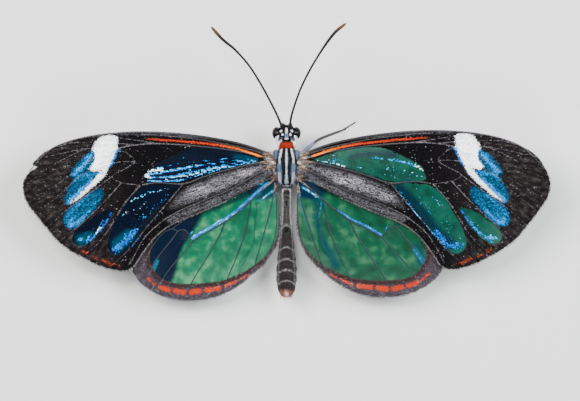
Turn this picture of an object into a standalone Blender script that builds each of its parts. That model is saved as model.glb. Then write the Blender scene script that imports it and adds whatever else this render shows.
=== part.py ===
# Clearwing butterfly, Ithomia patilla, life size: a still display model with the wings spread flat.
# The head points to -Y, the insect's left is +X and the feet stand on z = 0.
# Sizes are in millimetres. "out" is the distance from the midline to either side, and "back" the
# distance behind the middle of the thorax, so the plan tables serve the left and the right alike.

import math

import bmesh
import bpy
from mathutils import Matrix, Quaternion, Vector
from mathutils.geometry import delaunay_2d_cdt

MM = 0.001
GAP = 0.25                      # between pieces that meet
SIDES = (("left", 1.0), ("right", -1.0))

# Wings
WING_LENGTH = 25.2              # midline to the tip of the forewing
FOREWING_HEIGHT = 5.0           # middle of the membrane at its root
HINDWING_DROP = 1.22            # hindwing membrane below the forewing's
TIP_RISE = 1.6                  # of the membrane towards the tip, before the arch takes some back
TIP_ARCH = 1.2
REAR_SLOPE = 0.045              # fall for each millimetre towards the rear
REAR_SAG = 0.004
MEMBRANE = 0.5                  # thickness
VEIN_HEIGHT = 0.14              # of each ridge, on the upper and on the lower face
VEIN_HALF_WIDTH = 0.24
VEIN_STEP = 0.95                # between the points along a vein
MARGIN_STEP = 0.85              # between the points along the outline
ROOT_SWELL = 0.16               # extra thickness on each face at the root
ROOT_REACH = 1.3                # how far out the swelling goes
ROOT_STEPS = 5
RIDGE_DEGREES = 15.0            # edges steeper than this stay sharp
FORE_SWEEP = {"left": -0.3, "right": 0.3}       # degrees; positive turns the wing forwards
HIND_SWEEP = {"left": -1.15, "right": 1.15}

# The outline runs from the front of the root round the tip to the rear of the root.
FOREWING_OUTLINE = (
    (1.5, -0.75), (4.5, -1.7), (8.3, -2.4), (12.1, -2.8), (16.0, -2.8), (19.8, -2.3), (22.7, -1.2),
    (24.5, 0.5), (25.2, 2.2), (24.8, 3.8), (23.0, 6.2), (20.8, 8.4), (18.4, 9.8), (16.3, 10.4),
    (14.9, 10.1), (13.6, 8.3), (11.1, 6.0), (7.2, 4.3), (3.5, 2.75), (1.6, 1.25))
FOREWING_VEINS = {
    "subcosta": ((1.9, -0.45), (4.4, -1.25), (7.2, -1.72), (10.0, -2.1)),
    "radius": ((1.9, -0.2), (4.4, -0.85), (8.3, -1.4), (12.1, -1.7), (14.4, -1.6), (16.1, -1.3)),
    "radius_1": ((12.1, -1.7), (14.4, -2.0), (18.0, -2.4)),
    "radius_2": ((14.4, -1.6), (17.3, -1.8), (21.7, -1.4)),
    "radius_3": ((16.1, -1.3), (19.2, -1.2), (21.6, -0.8), (23.6, 0.1)),
    "radius_4": ((19.2, -1.2), (21.1, -0.3), (24.6, 1.9)),
    "radius_5": ((16.1, -1.3), (18.2, -0.5), (20.9, 1.3), (24.0, 4.0)),
    "media_1": ((14.6, 0.0), (16.8, 0.1), (19.2, 1.0), (21.3, 2.5), (23.2, 4.9)),
    "media_2": ((16.7, 1.4), (18.6, 2.8), (20.9, 4.5), (22.5, 6.2)),
    "media_3": ((15.8, 2.0), (17.4, 3.7), (19.1, 5.4), (21.1, 7.6)),
    "cell_end": ((16.1, -1.3), (14.6, 0.0), (16.7, 1.4), (15.8, 2.0), (14.0, 2.3)),
    "cubitus": ((1.9, 0.05), (3.2, 0.25), (6.0, 0.9), (9.8, 2.1), (14.0, 2.3)),
    "cubitus_1": ((14.0, 2.3), (15.5, 4.0), (17.3, 6.9), (19.3, 8.9)),
    "cubitus_2": ((9.8, 2.1), (11.8, 4.4), (14.4, 7.6), (16.8, 9.9)),
    "anal": ((1.9, 0.55), (3.3, 1.5), (5.6, 2.8), (10.8, 4.9), (13.0, 6.7), (14.6, 8.9))}

HINDWING_OUTLINE = (
    (1.35, 1.25), (3.6, 1.9), (6.6, 3.2), (9.6, 4.5), (12.2, 6.1), (14.1, 8.2), (14.8, 10.0),
    (14.2, 11.3), (12.7, 12.5), (10.8, 13.15), (8.6, 13.2), (6.4, 12.6), (4.6, 11.6), (3.1, 10.3),
    (1.9, 8.9), (1.2, 7.3), (0.98, 5.4), (1.0, 3.6), (1.25, 2.6))
HINDWING_VEINS = {
    "radius": ((1.7, 1.75), (4.3, 2.85), (8.2, 4.6), (11.1, 6.3)),
    "media_1": ((11.1, 6.3), (12.7, 7.6), (14.3, 10.1)),
    "cell_end": ((11.1, 6.3), (9.7, 6.5), (9.1, 7.5)),
    "media_2": ((10.5, 6.5), (12.0, 8.5), (13.6, 11.1)),
    "media_3": ((9.1, 7.5), (10.9, 9.6), (12.7, 12.0)),
    "cubitus": ((1.7, 2.1), (2.6, 2.9), (4.2, 4.4), (6.0, 5.7), (9.1, 7.5)),
    "cubitus_1": ((6.0, 5.7), (7.1, 8.0), (8.7, 10.6), (9.8, 12.8)),
    "cubitus_2": ((3.45, 3.75), (4.0, 6.6), (5.0, 9.4), (6.3, 12.2)),
    "anal": ((1.65, 2.8), (1.7, 4.2), (2.2, 6.8), (3.3, 9.9))}

# Body: back, half-width, top and underside of each section
THORAX = (
    (-1.05, 0.62, 5.00, 3.45), (-0.85, 1.02, 5.42, 2.95), (-0.45, 1.26, 5.72, 2.55), (0.10, 1.22, 5.86, 2.40),
    (0.80, 1.08, 5.80, 2.42), (1.45, 0.94, 5.55, 2.60), (2.00, 0.74, 5.15, 2.85), (2.30, 0.52, 4.85, 3.15))
COLLAR = ((-1.82, 0.45, 4.72, 3.78), (-1.70, 0.62, 4.92, 3.60), (-1.45, 0.66, 5.00, 3.52), (-1.30, 0.56, 4.90, 3.62))
HEAD = (
    (-3.22, 0.35, 4.80, 3.95), (-3.10, 0.62, 5.00, 3.75), (-2.85, 0.84, 5.14, 3.62), (-2.55, 0.90, 5.16, 3.62),
    (-2.28, 0.74, 5.04, 3.72), (-2.07, 0.46, 4.80, 3.88))
ABDOMEN = (
    (2.55, 0.50, 4.55, 3.35), (3.00, 0.53, 4.55, 3.28), (3.70, 0.42, 4.36, 3.28), (4.80, 0.40, 4.14, 3.10),
    (5.80, 0.47, 4.04, 2.90), (7.00, 0.57, 3.98, 2.66), (8.30, 0.71, 3.94, 2.42), (9.40, 0.85, 3.88, 2.20),
    (10.60, 0.96, 3.78, 2.02), (11.60, 0.93, 3.60, 1.98), (12.30, 0.80, 3.40, 2.06), (12.80, 0.58, 3.18, 2.20),
    (13.05, 0.30, 2.98, 2.40))
SEGMENT_ENDS = (3.65, 6.25, 8.35, 9.50, 10.55, 11.60)
SEGMENT_STEP = 0.06             # how far each ring stands over the next
SEGMENT_RING = 0.32             # length of its raised edge
BODY_SEGMENTS = 24

EYE_CENTRE = (0.86, -2.66, 4.42)
EYE_SIZE = (0.48, 0.56, 0.70)
EYE_INNER_FACE = 0.83           # flat face towards the head
HEAD_WAIST = 0.60               # half-width of the head between the eyes

# Feelers: out, back and height, from the socket to the tip
ANTENNA_ROUTE = {
    "left": ((0.50, -3.42, 5.12), (1.0, -4.6, 5.55), (2.2, -6.9, 6.0), (3.5, -9.0, 6.4), (4.9, -10.6, 6.7),
             (6.1, -11.6, 6.85), (7.2, -12.8, 6.95)),
    "right": ((0.34, -3.42, 5.12), (0.55, -4.6, 5.55), (1.4, -7.0, 6.0), (2.7, -9.5, 6.4), (4.4, -12.0, 6.8),
              (5.7, -13.15, 6.95))}
ANTENNA_RADIUS = ((0.0, 0.25), (0.78, 0.25), (0.90, 0.33), (0.97, 0.28), (1.0, 0.12))
ANTENNA_STEP = 0.9

PALP_ROUTE = ((0.36, -3.02, 3.22), (0.37, -3.42, 3.15), (0.37, -3.70, 3.55), (0.36, -3.74, 4.05), (0.35, -3.66, 4.42))
PALP_RADIUS = ((0.0, 0.22), (0.7, 0.22), (1.0, 0.12))
PROBOSCIS = {"centre": (-2.50, 2.72), "outer": 0.60, "pitch": 0.46, "turns": 0.85, "radius": 0.15, "top": 3.38}

# Legs: routes start under the thorax, and the feet end flat on the ground
LEG_RADIUS = 0.25
COXA_RADIUS = 0.3
FOOT_HEIGHT = 0.17              # of a foot's centre line, so that its underside is cut flat
LEG_ROUTES = {
    "foreleg": ((0.52, -0.72), ((0.58, -0.95, 1.95), (0.66, -1.55, 1.95), (0.70, -2.05, 2.40), (0.66, -2.10, 2.95))),
    "midleg": ((0.58, 0.20), ((0.70, 0.10, 1.62), (1.30, -0.50, 1.80), (2.10, -1.30, 2.80), (2.92, -1.95, 3.42),
                              (3.60, -2.30, 3.00), (4.60, -2.70, 1.60), (5.25, -2.95, 0.55), (5.75, -3.22, FOOT_HEIGHT),
                              (6.60, -3.75, FOOT_HEIGHT))),
    "hindleg": ((0.56, 1.20), ((0.66, 1.45, 1.62), (1.20, 2.40, 1.75), (2.10, 3.45, 2.30), (2.93, 4.25, 2.52),
                               (3.05, 5.30, 2.05), (3.08, 7.00, 1.10), (3.25, 8.10, 0.50), (3.75, 8.95, FOOT_HEIGHT),
                               (4.50, 9.75, FOOT_HEIGHT)))}
# The left middle leg stands back under the forewing, where the photo hides it
LEFT_MIDLEG_ROUTE = ((0.70, 0.22, 1.62), (1.30, 0.36, 1.80), (2.20, 0.62, 2.60), (3.00, 0.90, 3.00), (3.80, 1.20, 2.55),
                     (4.80, 1.58, 1.40), (5.40, 1.82, 0.52), (5.90, 2.04, FOOT_HEIGHT), (6.80, 2.42, FOOT_HEIGHT))
LEG_STEP = 0.5
LEG_TAPER = {
    "foreleg": ((0.0, COXA_RADIUS), (0.2, LEG_RADIUS), (0.8, LEG_RADIUS), (1.0, 0.14)),
    "midleg": ((0.0, COXA_RADIUS), (0.35, COXA_RADIUS), (0.5, LEG_RADIUS), (0.95, LEG_RADIUS), (1.0, 0.2)),
    "hindleg": ((0.0, COXA_RADIUS), (0.35, COXA_RADIUS), (0.5, LEG_RADIUS), (0.95, LEG_RADIUS), (1.0, 0.2))}

# Colour, roughness and alpha of each piece
FINISHES = {
    "thorax": ((0.12, 0.15, 0.20), 0.75, 1.0),
    "collar": ((0.62, 0.10, 0.03), 0.70, 1.0),
    "head": ((0.03, 0.03, 0.04), 0.65, 1.0),
    "abdomen": ((0.11, 0.10, 0.09), 0.75, 1.0),
    "eye": ((0.008, 0.007, 0.008), 0.15, 1.0),
    "antenna": ((0.03, 0.02, 0.02), 0.50, 1.0),
    "palp": ((0.30, 0.30, 0.33), 0.70, 1.0),
    "proboscis": ((0.10, 0.05, 0.03), 0.45, 1.0),
    "leg": ((0.08, 0.07, 0.07), 0.60, 1.0),
    "forewing": ((0.05, 0.09, 0.12), 0.30, 0.8),
    "hindwing": ((0.10, 0.25, 0.27), 0.25, 0.6)}


def clear_scene():
    for item in list(bpy.data.objects):
        bpy.data.objects.remove(item, do_unlink=True)


def finish_material(kind):
    colour, roughness, alpha = FINISHES[kind]
    found = bpy.data.materials.get(kind)
    if found:
        return found
    made = bpy.data.materials.new(kind)
    made.use_nodes = True
    shader = made.node_tree.nodes["Principled BSDF"]
    shader.inputs["Base Color"].default_value = (*colour, 1.0)
    shader.inputs["Roughness"].default_value = roughness
    shader.inputs["Metallic"].default_value = 0.0
    shader.inputs["Alpha"].default_value = alpha
    return made


def add_object(name, body, kind, sharp_degrees=40.0):
    bmesh.ops.triangulate(body, faces=body.faces)
    bmesh.ops.scale(body, vec=(MM, MM, MM), verts=body.verts)
    mesh = bpy.data.meshes.new(name)
    body.to_mesh(mesh)
    body.free()
    mesh.shade_smooth()
    mesh.set_sharp_from_angle(angle=math.radians(sharp_degrees))
    mesh.materials.append(finish_material(kind))
    made = bpy.data.objects.new(name, mesh)
    bpy.context.scene.collection.objects.link(made)
    return made


# Smooth value of one column of a table whose first column grows
def table_value(table, place, column):
    rows = [(row[0], row[column]) for row in table]
    if place <= rows[0][0]:
        return rows[0][1]
    if place >= rows[-1][0]:
        return rows[-1][1]
    last = next(k for k in range(1, len(rows)) if rows[k][0] >= place)

    def slope(k):
        before = rows[max(k - 1, 0)]
        after = rows[min(k + 1, len(rows) - 1)]
        return (after[1] - before[1]) / (after[0] - before[0])

    (start, low), (end, high) = rows[last - 1], rows[last]
    span = end - start
    t = (place - start) / span
    return ((2 * t ** 3 - 3 * t ** 2 + 1) * low + (t ** 3 - 2 * t ** 2 + t) * span * slope(last - 1)
            + (3 * t ** 2 - 2 * t ** 3) * high + (t ** 3 - t ** 2) * span * slope(last))


# Points at an even step along a smooth curve through the given ones
def smooth_curve(points, step):
    points = [Vector(point) for point in points]
    ends = [2 * points[0] - points[1]] + points + [2 * points[-1] - points[-2]]
    fine = []
    for k in range(1, len(ends) - 2):
        a, b, c, d = ends[k - 1:k + 3]
        for part in range(12):
            t = part / 12
            fine.append(0.5 * (2 * b + (c - a) * t + (2 * a - 5 * b + 4 * c - d) * t ** 2
                               + (3 * b - a - 3 * c + d) * t ** 3))
    fine.append(points[-1].copy())
    lengths = [0.0]
    for before, after in zip(fine, fine[1:]):
        lengths.append(lengths[-1] + (after - before).length)
    count = max(2, round(lengths[-1] / step))
    even = []
    k = 1
    for number in range(count + 1):
        target = lengths[-1] * number / count
        while k < len(fine) - 1 and lengths[k] < target:
            k += 1
        share = (target - lengths[k - 1]) / max(lengths[k] - lengths[k - 1], 1e-9)
        even.append(fine[k - 1].lerp(fine[k], min(max(share, 0.0), 1.0)))
    return even


def join_rings(rings):
    body = bmesh.new()
    loops = [[body.verts.new(point) for point in ring] for ring in rings]
    count = len(loops[0])
    for before, after in zip(loops, loops[1:]):
        for k in range(count):
            body.faces.new((before[k], before[(k + 1) % count], after[(k + 1) % count], after[k]))
    body.faces.new(list(reversed(loops[0])))
    body.faces.new(loops[-1])
    bmesh.ops.recalc_face_normals(body, faces=body.faces)
    return body


def tube(route, radii, step, around):
    centres = smooth_curve(route, step)
    rings = []
    along = (centres[1] - centres[0]).normalized()
    side = along.orthogonal().normalized()
    for k, centre in enumerate(centres):
        heading = (centres[min(k + 1, len(centres) - 1)] - centres[max(k - 1, 0)]).normalized()
        side = along.rotation_difference(heading) @ side
        along = heading
        radius = table_value(radii, k / (len(centres) - 1), 1)
        rings.append([centre + Quaternion(along, 2 * math.pi * n / around) @ side * radius for n in range(around)])
    return join_rings(rings)


# One oval section of the body: a half-width, a top and an underside
def body_ring(back, half_width, top, under, count=BODY_SEGMENTS):
    middle = (top + under) / 2
    height = (top - under) / 2
    return [Vector((half_width * math.cos(2 * math.pi * k / count), back,
                    middle + height * math.sin(2 * math.pi * k / count))) for k in range(count)]


def body_loft(table, places, swell=None):
    rings = []
    for back in places:
        grow = swell(back) if swell else 0.0
        rings.append(body_ring(back, table_value(table, back, 1) + grow, table_value(table, back, 2) + grow,
                               table_value(table, back, 3) - grow))
    return join_rings(rings)


def even_places(start, end, count):
    return [start + (end - start) * k / (count - 1) for k in range(count)]


# Half-width of the thorax at one place and height
def thorax_side(back, height):
    top = table_value(THORAX, back, 2)
    under = table_value(THORAX, back, 3)
    lift = (height - (top + under) / 2) / ((top - under) / 2)
    return table_value(THORAX, back, 1) * math.sqrt(max(0.0, 1 - lift * lift))


def thorax_underside(out, back):
    top = table_value(THORAX, back, 2)
    under = table_value(THORAX, back, 3)
    across = min(1.0, abs(out) / table_value(THORAX, back, 1))
    return (top + under) / 2 - (top - under) / 2 * math.sqrt(1 - across * across)


# Middle of the forewing's membrane; the hindwing's runs the same way below it
def membrane_height(out, back):
    share = out / WING_LENGTH
    return FOREWING_HEIGHT + TIP_RISE * share - TIP_ARCH * share ** 2 - REAR_SLOPE * back - REAR_SAG * back * abs(back)


def segment_distance(point, start, end):
    line = end - start
    share = max(0.0, min(1.0, (point - start).dot(line) / line.length_squared))
    return (point - start - line * share).length


def line_distance(point, line):
    return min(segment_distance(point, a, b) for a, b in zip(line, line[1:]))


def wing_plan(outline, veins, sweep, drop):
    pivot = Vector((outline[0][0], (outline[0][1] + outline[-1][1]) / 2))
    turn = Matrix.Rotation(math.radians(-sweep), 2)

    def swept(point):
        return pivot + turn @ (Vector(point) - pivot)

    margin = smooth_curve([swept(point) for point in outline], MARGIN_STEP)
    front, rear = margin[0], margin[-1]
    root = []
    for k in range(ROOT_STEPS + 1):
        back = rear.y + (front.y - rear.y) * k / ROOT_STEPS
        low = membrane_height(margin[0].x, back) - drop - MEMBRANE / 2 - ROOT_SWELL
        high = low + MEMBRANE + 2 * ROOT_SWELL
        root.append(Vector((max(thorax_side(back, low), thorax_side(back, high), thorax_side(back, (low + high) / 2))
                            + GAP, back)))
    border = root + margin[1:-1]
    lines = [smooth_curve([swept(point) for point in vein], VEIN_STEP) for vein in veins.values()]
    return border, lines


# A thin wing whose veins rise from both faces. Both faces are split into the same triangles.
def wing(name, kind, side, outline, veins, sweep, drop):
    border, lines = wing_plan(outline, veins, sweep, drop)
    closed = border + border[:1]
    points = list(border)
    edges = []

    def add_point(point, reach):
        for k, other in enumerate(points):
            if (other - point).length < reach:
                return k
        points.append(point)
        return len(points) - 1

    for line in lines:
        places = [add_point(point, 0.35) for point in line]
        edges += [pair for pair in zip(places, places[1:]) if pair[0] != pair[1]]
    crests = len(points)
    for line in lines:
        for k, point in enumerate(line):
            heading = (line[min(k + 1, len(line) - 1)] - line[max(k - 1, 0)]).normalized()
            across = Vector((-heading.y, heading.x)) * VEIN_HALF_WIDTH
            for foot in (point + across, point - across):
                clear = all(line_distance(foot, other) > VEIN_HALF_WIDTH * 0.9 for other in lines)
                inside = line_distance(foot, closed) > VEIN_HALF_WIDTH * 0.9
                near = any((other - foot).length < VEIN_HALF_WIDTH * 0.6 for other in points[crests:])
                if clear and inside and not near:
                    points.append(foot)
    flat, _, faces, _, _, owners = delaunay_2d_cdt(points, edges, [list(range(len(border)))], 1, 1e-4, True)
    faces = [face for face, owner in zip(faces, owners) if owner]      # only those inside the margin

    body = bmesh.new()
    upper = []
    lower = []
    for point in flat:
        rim = line_distance(point, closed)
        ridge = max(0.0, 1 - min(line_distance(point, line) for line in lines) / VEIN_HALF_WIDTH)
        ridge *= VEIN_HEIGHT * min(1.0, rim / 0.4)
        swell = ROOT_SWELL * max(0.0, 1 - (point.x - border[0].x) / ROOT_REACH)
        half = MEMBRANE / 2 + max(ridge, swell)
        middle = membrane_height(point.x, point.y) - drop
        upper.append(body.verts.new((point.x * side, point.y, middle + half)))
        lower.append(body.verts.new((point.x * side, point.y, middle - half)))
    for face in faces:
        body.faces.new([upper[k] for k in face])
        body.faces.new([lower[k] for k in reversed(face)])
    for edge in [edge for edge in body.edges if edge.is_boundary and edge.verts[0] in set(upper)]:
        a, b = (upper.index(vert) for vert in edge.verts)
        body.faces.new((upper[a], upper[b], lower[b], lower[a]))
    bmesh.ops.recalc_face_normals(body, faces=body.faces)
    return add_object(name, body, kind, RIDGE_DEGREES)


def eye_form(side, grow, inner_face):
    body = bmesh.new()
    bmesh.ops.create_uvsphere(body, u_segments=18, v_segments=11, radius=1.0)
    bmesh.ops.rotate(body, matrix=Matrix.Rotation(math.radians(90), 3, "Y"), verts=body.verts)
    bmesh.ops.scale(body, vec=[size + grow for size in EYE_SIZE], verts=body.verts)
    bmesh.ops.translate(body, vec=EYE_CENTRE, verts=body.verts)
    bmesh.ops.bisect_plane(body, geom=body.verts[:] + body.edges[:] + body.faces[:], plane_co=(inner_face, 0, 0),
                           plane_no=(1, 0, 0), clear_inner=True)
    bmesh.ops.contextual_create(body, geom=[edge for edge in body.edges if edge.is_boundary])
    bmesh.ops.scale(body, vec=(side, 1, 1), verts=body.verts)
    bmesh.ops.recalc_face_normals(body, faces=body.faces)
    return body


def make_head():
    head = add_object("head", body_loft(HEAD, even_places(HEAD[0][0], HEAD[-1][0], 11)), "head")
    for label, side in SIDES:
        cutter = add_object("socket_" + label, eye_form(side, GAP * 0.8, HEAD_WAIST), "head")
        cut = head.modifiers.new("socket_" + label, "BOOLEAN")
        cut.operation = "DIFFERENCE"
        cut.solver = "EXACT"
        cut.object = cutter
        cutter.hide_render = True
        cutter.display_type = "WIRE"
        add_object("eye_" + label, eye_form(side, 0.0, EYE_INNER_FACE), "eye")


def make_feelers():
    for label, side in SIDES:
        route = [(out * side, back, height) for out, back, height in ANTENNA_ROUTE[label]]
        add_object("antenna_" + label, tube(route, ANTENNA_RADIUS, ANTENNA_STEP, 8), "antenna")
        route = [(out * side, back, height) for out, back, height in PALP_ROUTE]
        add_object("palp_" + label, tube(route, PALP_RADIUS, 0.3, 8), "palp")


# The tongue hangs from the mouth and is rolled up like a watch spring
def make_proboscis():
    centre_back, centre_height = PROBOSCIS["centre"]
    steps = 16
    route = [(0.0, centre_back - PROBOSCIS["outer"], PROBOSCIS["top"])]
    for k in range(steps + 1):
        turned = PROBOSCIS["turns"] * k / steps
        radius = PROBOSCIS["outer"] - PROBOSCIS["pitch"] * turned
        angle = 2 * math.pi * turned
        route.append((0.0, centre_back - radius * math.cos(angle), centre_height - radius * math.sin(angle)))
    add_object("proboscis", tube(route, ((0.0, PROBOSCIS["radius"]), (1.0, PROBOSCIS["radius"])), 0.25, 8), "proboscis")


def abdomen_swell(back):
    for end in SEGMENT_ENDS:
        if end - SEGMENT_RING <= back <= end:
            return SEGMENT_STEP * (back - end + SEGMENT_RING) / SEGMENT_RING
    return 0.0


def make_abdomen():
    ring_places = [end + shift for end in SEGMENT_ENDS for shift in (-SEGMENT_RING, 0.0, 0.05)]
    plain = [place for place in even_places(ABDOMEN[0][0], ABDOMEN[-1][0], 19)
             if all(abs(place - ring) > 0.2 for ring in ring_places)]
    places = sorted(plain + ring_places + [ABDOMEN[-1][0] - 0.12])
    add_object("abdomen", body_loft(ABDOMEN, places, abdomen_swell), "abdomen")


def cut_flat_foot(body):
    bmesh.ops.bisect_plane(body, geom=body.verts[:] + body.edges[:] + body.faces[:], plane_co=(0, 0, 0),
                           plane_no=(0, 0, -1), clear_outer=True)
    bmesh.ops.contextual_create(body, geom=[edge for edge in body.edges if edge.is_boundary])
    bmesh.ops.recalc_face_normals(body, faces=body.faces)


def make_legs():
    for kind, ((out, back), route) in LEG_ROUTES.items():
        start = thorax_underside(out - COXA_RADIUS, back) - GAP
        for label, side in SIDES:
            tucked = kind == "midleg" and label == "left"
            full = [(out, back, start)] + list(LEFT_MIDLEG_ROUTE if tucked else route)
            body = tube([(a * side, b, c) for a, b, c in full], LEG_TAPER[kind], LEG_STEP, 8)
            if kind != "foreleg":
                cut_flat_foot(body)
            add_object(kind + "_" + label, body, "leg")


def make_wings():
    for label, side in SIDES:
        wing("forewing_" + label, "forewing", side, FOREWING_OUTLINE, FOREWING_VEINS, FORE_SWEEP[label], 0.0)
        wing("hindwing_" + label, "hindwing", side, HINDWING_OUTLINE, HINDWING_VEINS, HIND_SWEEP[label], HINDWING_DROP)


clear_scene()
add_object("thorax", body_loft(THORAX, even_places(THORAX[0][0], THORAX[-1][0], 15)), "thorax")
add_object("collar", body_loft(COLLAR, even_places(COLLAR[0][0], COLLAR[-1][0], 6)), "collar")
make_head()
make_feelers()
make_proboscis()
make_abdomen()
make_legs()
make_wings()
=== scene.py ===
import math

import bmesh
import bpy
import numpy as np
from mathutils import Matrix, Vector
from mathutils.geometry import delaunay_2d_cdt


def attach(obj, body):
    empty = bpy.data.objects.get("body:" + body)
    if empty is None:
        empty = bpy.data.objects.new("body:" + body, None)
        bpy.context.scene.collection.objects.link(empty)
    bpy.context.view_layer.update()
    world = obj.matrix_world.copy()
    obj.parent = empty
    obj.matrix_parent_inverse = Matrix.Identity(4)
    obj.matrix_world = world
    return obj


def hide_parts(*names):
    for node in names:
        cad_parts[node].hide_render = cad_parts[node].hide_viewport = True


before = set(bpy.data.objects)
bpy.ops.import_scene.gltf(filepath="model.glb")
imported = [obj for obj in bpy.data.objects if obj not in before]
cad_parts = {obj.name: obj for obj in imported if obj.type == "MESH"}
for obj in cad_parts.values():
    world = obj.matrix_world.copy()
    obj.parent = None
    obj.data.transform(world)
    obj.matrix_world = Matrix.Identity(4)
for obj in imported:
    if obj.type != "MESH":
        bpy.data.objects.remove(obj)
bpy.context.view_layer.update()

print("frame loaded:", len(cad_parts), "nodes")

mm = 0.001
sides = (("left", 1.0), ("right", -1.0))

# Plan shapes are in millimetres as (out, back): out from the midline to either side, back behind
# the middle of the thorax. The head points to -Y, the insect's left is +X.

stageSetup = {
    "pixel": 0.096,                 # millimetres on the wings for one of the frame's 580 pixels
    "frameWidth": 580,
    "axisAt": (286.5, 161.0),       # where the middle of the thorax shows in the frame
    "frameCentre": (290.0, 200.5),
    "cameraHeight": 460.0,
    "sensor": 36.0,
    "aimHeight": 4.6,
    "floorColour": (0.60, 0.605, 0.60),
    "floorSize": 900.0,
    "lampsAim": (0.0, 3.0, 4.0),
    "lamps": (                      # place, size, power, colour
        ((150.0, -90.0, 260.0), 140.0, 1.85, (1.0, 0.98, 0.95)),
        ((-170.0, -60.0, 240.0), 140.0, 1.70, (0.95, 0.98, 1.0)),
        ((0.0, 230.0, 220.0), 160.0, 0.55, (1.0, 1.0, 1.0)),
        ((40.0, -90.0, 320.0), 50.0, 0.55, (1.0, 1.0, 1.0))),
    "worldColour": (0.80, 0.84, 0.90),
    "worldStrength": 0.22}


class Wire:
    def __init__(self, bench, socket):
        self.bench = bench
        self.socket = socket

    def sum(self, operation, first, second, clamp=False):
        return self.bench.add("ShaderNodeMath", {"operation": operation, "use_clamp": clamp}, {0: first, 1: second})

    def __add__(self, other):
        return self.sum("ADD", self, other)

    def __sub__(self, other):
        return self.sum("SUBTRACT", self, other)

    def __rsub__(self, other):
        return self.sum("SUBTRACT", other, self)

    def __mul__(self, other):
        return self.sum("MULTIPLY", self, other)

    __radd__ = __add__
    __rmul__ = __mul__

    def clamped(self):
        return self.sum("ADD", self, 0.0, True)

    def most(self, other):
        return self.sum("MAXIMUM", self, other)


class Bench:
    def __init__(self, tree):
        self.tree = tree

    def add(self, kind, settings=None, inputs=None, output=0):
        node = self.tree.nodes.new(kind)
        for key, value in (settings or {}).items():
            if key == "stops":
                ramp = node.color_ramp
                while len(ramp.elements) < len(value):
                    ramp.elements.new(0.5)
                for element, (place, colour) in zip(ramp.elements, value):
                    element.position = place
                    element.color = (*colour, 1.0)
            else:
                setattr(node, key, value)
        for key, value in (inputs or {}).items():
            self.put(node.inputs[key], value)
        return Wire(self, node.outputs[output])

    def put(self, socket, value):
        if isinstance(value, Wire):
            self.tree.links.new(value.socket, socket)
        elif socket.type == "RGBA" and len(value) == 3:
            socket.default_value = (*value, 1.0)
        else:
            socket.default_value = value

    def mix(self, first, second, factor):
        return self.add("ShaderNodeMix", {"data_type": "RGBA"}, {0: factor, 6: first, 7: second}, 2)

    def step(self, value, low, high):
        settings = {"interpolation_type": "SMOOTHSTEP"}
        return self.add("ShaderNodeMapRange", settings, {"Value": value, "From Min": low, "From Max": high})

    def attribute(self, name, output="Fac"):
        return self.add("ShaderNodeAttribute", {"attribute_name": name}, {}, output)

    def noise(self, place, scale, detail=2.0):
        return self.add("ShaderNodeTexNoise", {}, {"Vector": place, "Scale": scale, "Detail": detail})

    def place(self):
        return self.add("ShaderNodeTexCoord", {}, {}, "Object")

    def join(self, x=0.0, y=0.0, z=0.0):
        return self.add("ShaderNodeCombineXYZ", {}, {"X": x, "Y": y, "Z": z})


def newMaterial(name):
    made = bpy.data.materials.new(name)
    made.use_nodes = True
    made.node_tree.nodes.clear()
    return made, Bench(made.node_tree)


# Ends a material; the bump is given as height, strength and distance
def finishShader(bench, values, bump=None):
    shader = bench.tree.nodes.new("ShaderNodeBsdfPrincipled")
    out = bench.tree.nodes.new("ShaderNodeOutputMaterial")
    bench.tree.links.new(shader.outputs[0], out.inputs["Surface"])
    if bump:
        values["Normal"] = bench.add("ShaderNodeBump", {}, dict(zip(("Height", "Strength", "Distance"), bump)))
    for key, value in values.items():
        bench.put(shader.inputs[key], value)


# Curves and distances in plan

# How far each point of a line lies along it
def runAlong(line):
    return np.concatenate([[0.0], np.cumsum(np.linalg.norm(np.diff(line, axis=0), axis=1))])


def smoothCurve(points, step, closed=False):
    given = np.array(points, float)
    if closed:
        ends = np.vstack([given[-1], given, given[0], given[1]])
    else:
        ends = np.vstack([2 * given[0] - given[1], given, 2 * given[-1] - given[-2]])
    t = np.linspace(0, 1, 24, endpoint=False)[:, None]
    fine = []
    for a, b, c, d in zip(ends, ends[1:], ends[2:], ends[3:]):
        fine.append(0.5 * (2 * b + (c - a) * t + (2 * a - 5 * b + 4 * c - d) * t ** 2
                           + (3 * b - a - 3 * c + d) * t ** 3))
    fine = np.vstack(fine + [given[:1] if closed else given[-1:]])
    run = runAlong(fine)
    count = max(3, int(round(run[-1] / step)))
    wanted = np.linspace(0, run[-1], count + 1)
    even = np.column_stack([np.interp(wanted, run, fine[:, k]) for k in range(fine.shape[1])])
    return even[:-1] if closed else even


# Distance to a line, the side it lies on, and the run along the line to the nearest point
def lineField(places, line):
    line = np.asarray(line, float)
    run = runAlong(line)
    best = np.full(len(places), 1e9)
    side = np.zeros(len(places))
    along = np.zeros(len(places))
    for k, (a, b) in enumerate(zip(line, line[1:])):
        way = b - a
        size = way @ way
        if size < 1e-12:
            continue
        rel = places - a
        t = np.clip(rel @ way / size, 0, 1)
        far = np.linalg.norm(rel - t[:, None] * way, axis=1)
        near = far < best
        best[near] = far[near]
        side[near] = np.sign(way[0] * rel[near, 1] - way[1] * rel[near, 0])
        along[near] = run[k] + t[near] * math.sqrt(size)
    return best, side, along


def insideLoop(places, closed):
    inside = np.zeros(len(places), bool)
    x, y = places[:, 0], places[:, 1]
    for (ax, ay), (bx, by) in zip(closed, closed[1:]):
        if ay != by:
            inside ^= ((ay > y) != (by > y)) & (x < (bx - ax) * (y - ay) / (by - ay) + ax)
    return inside


# Distance to the border of a closed shape, positive inside
def loopField(places, loop):
    ring = smoothCurve(loop, 0.15, closed=True)
    closed = np.vstack([ring, ring[:1]])
    far = lineField(places, closed)[0]
    return np.where(insideLoop(places, closed), far, -far)


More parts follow.
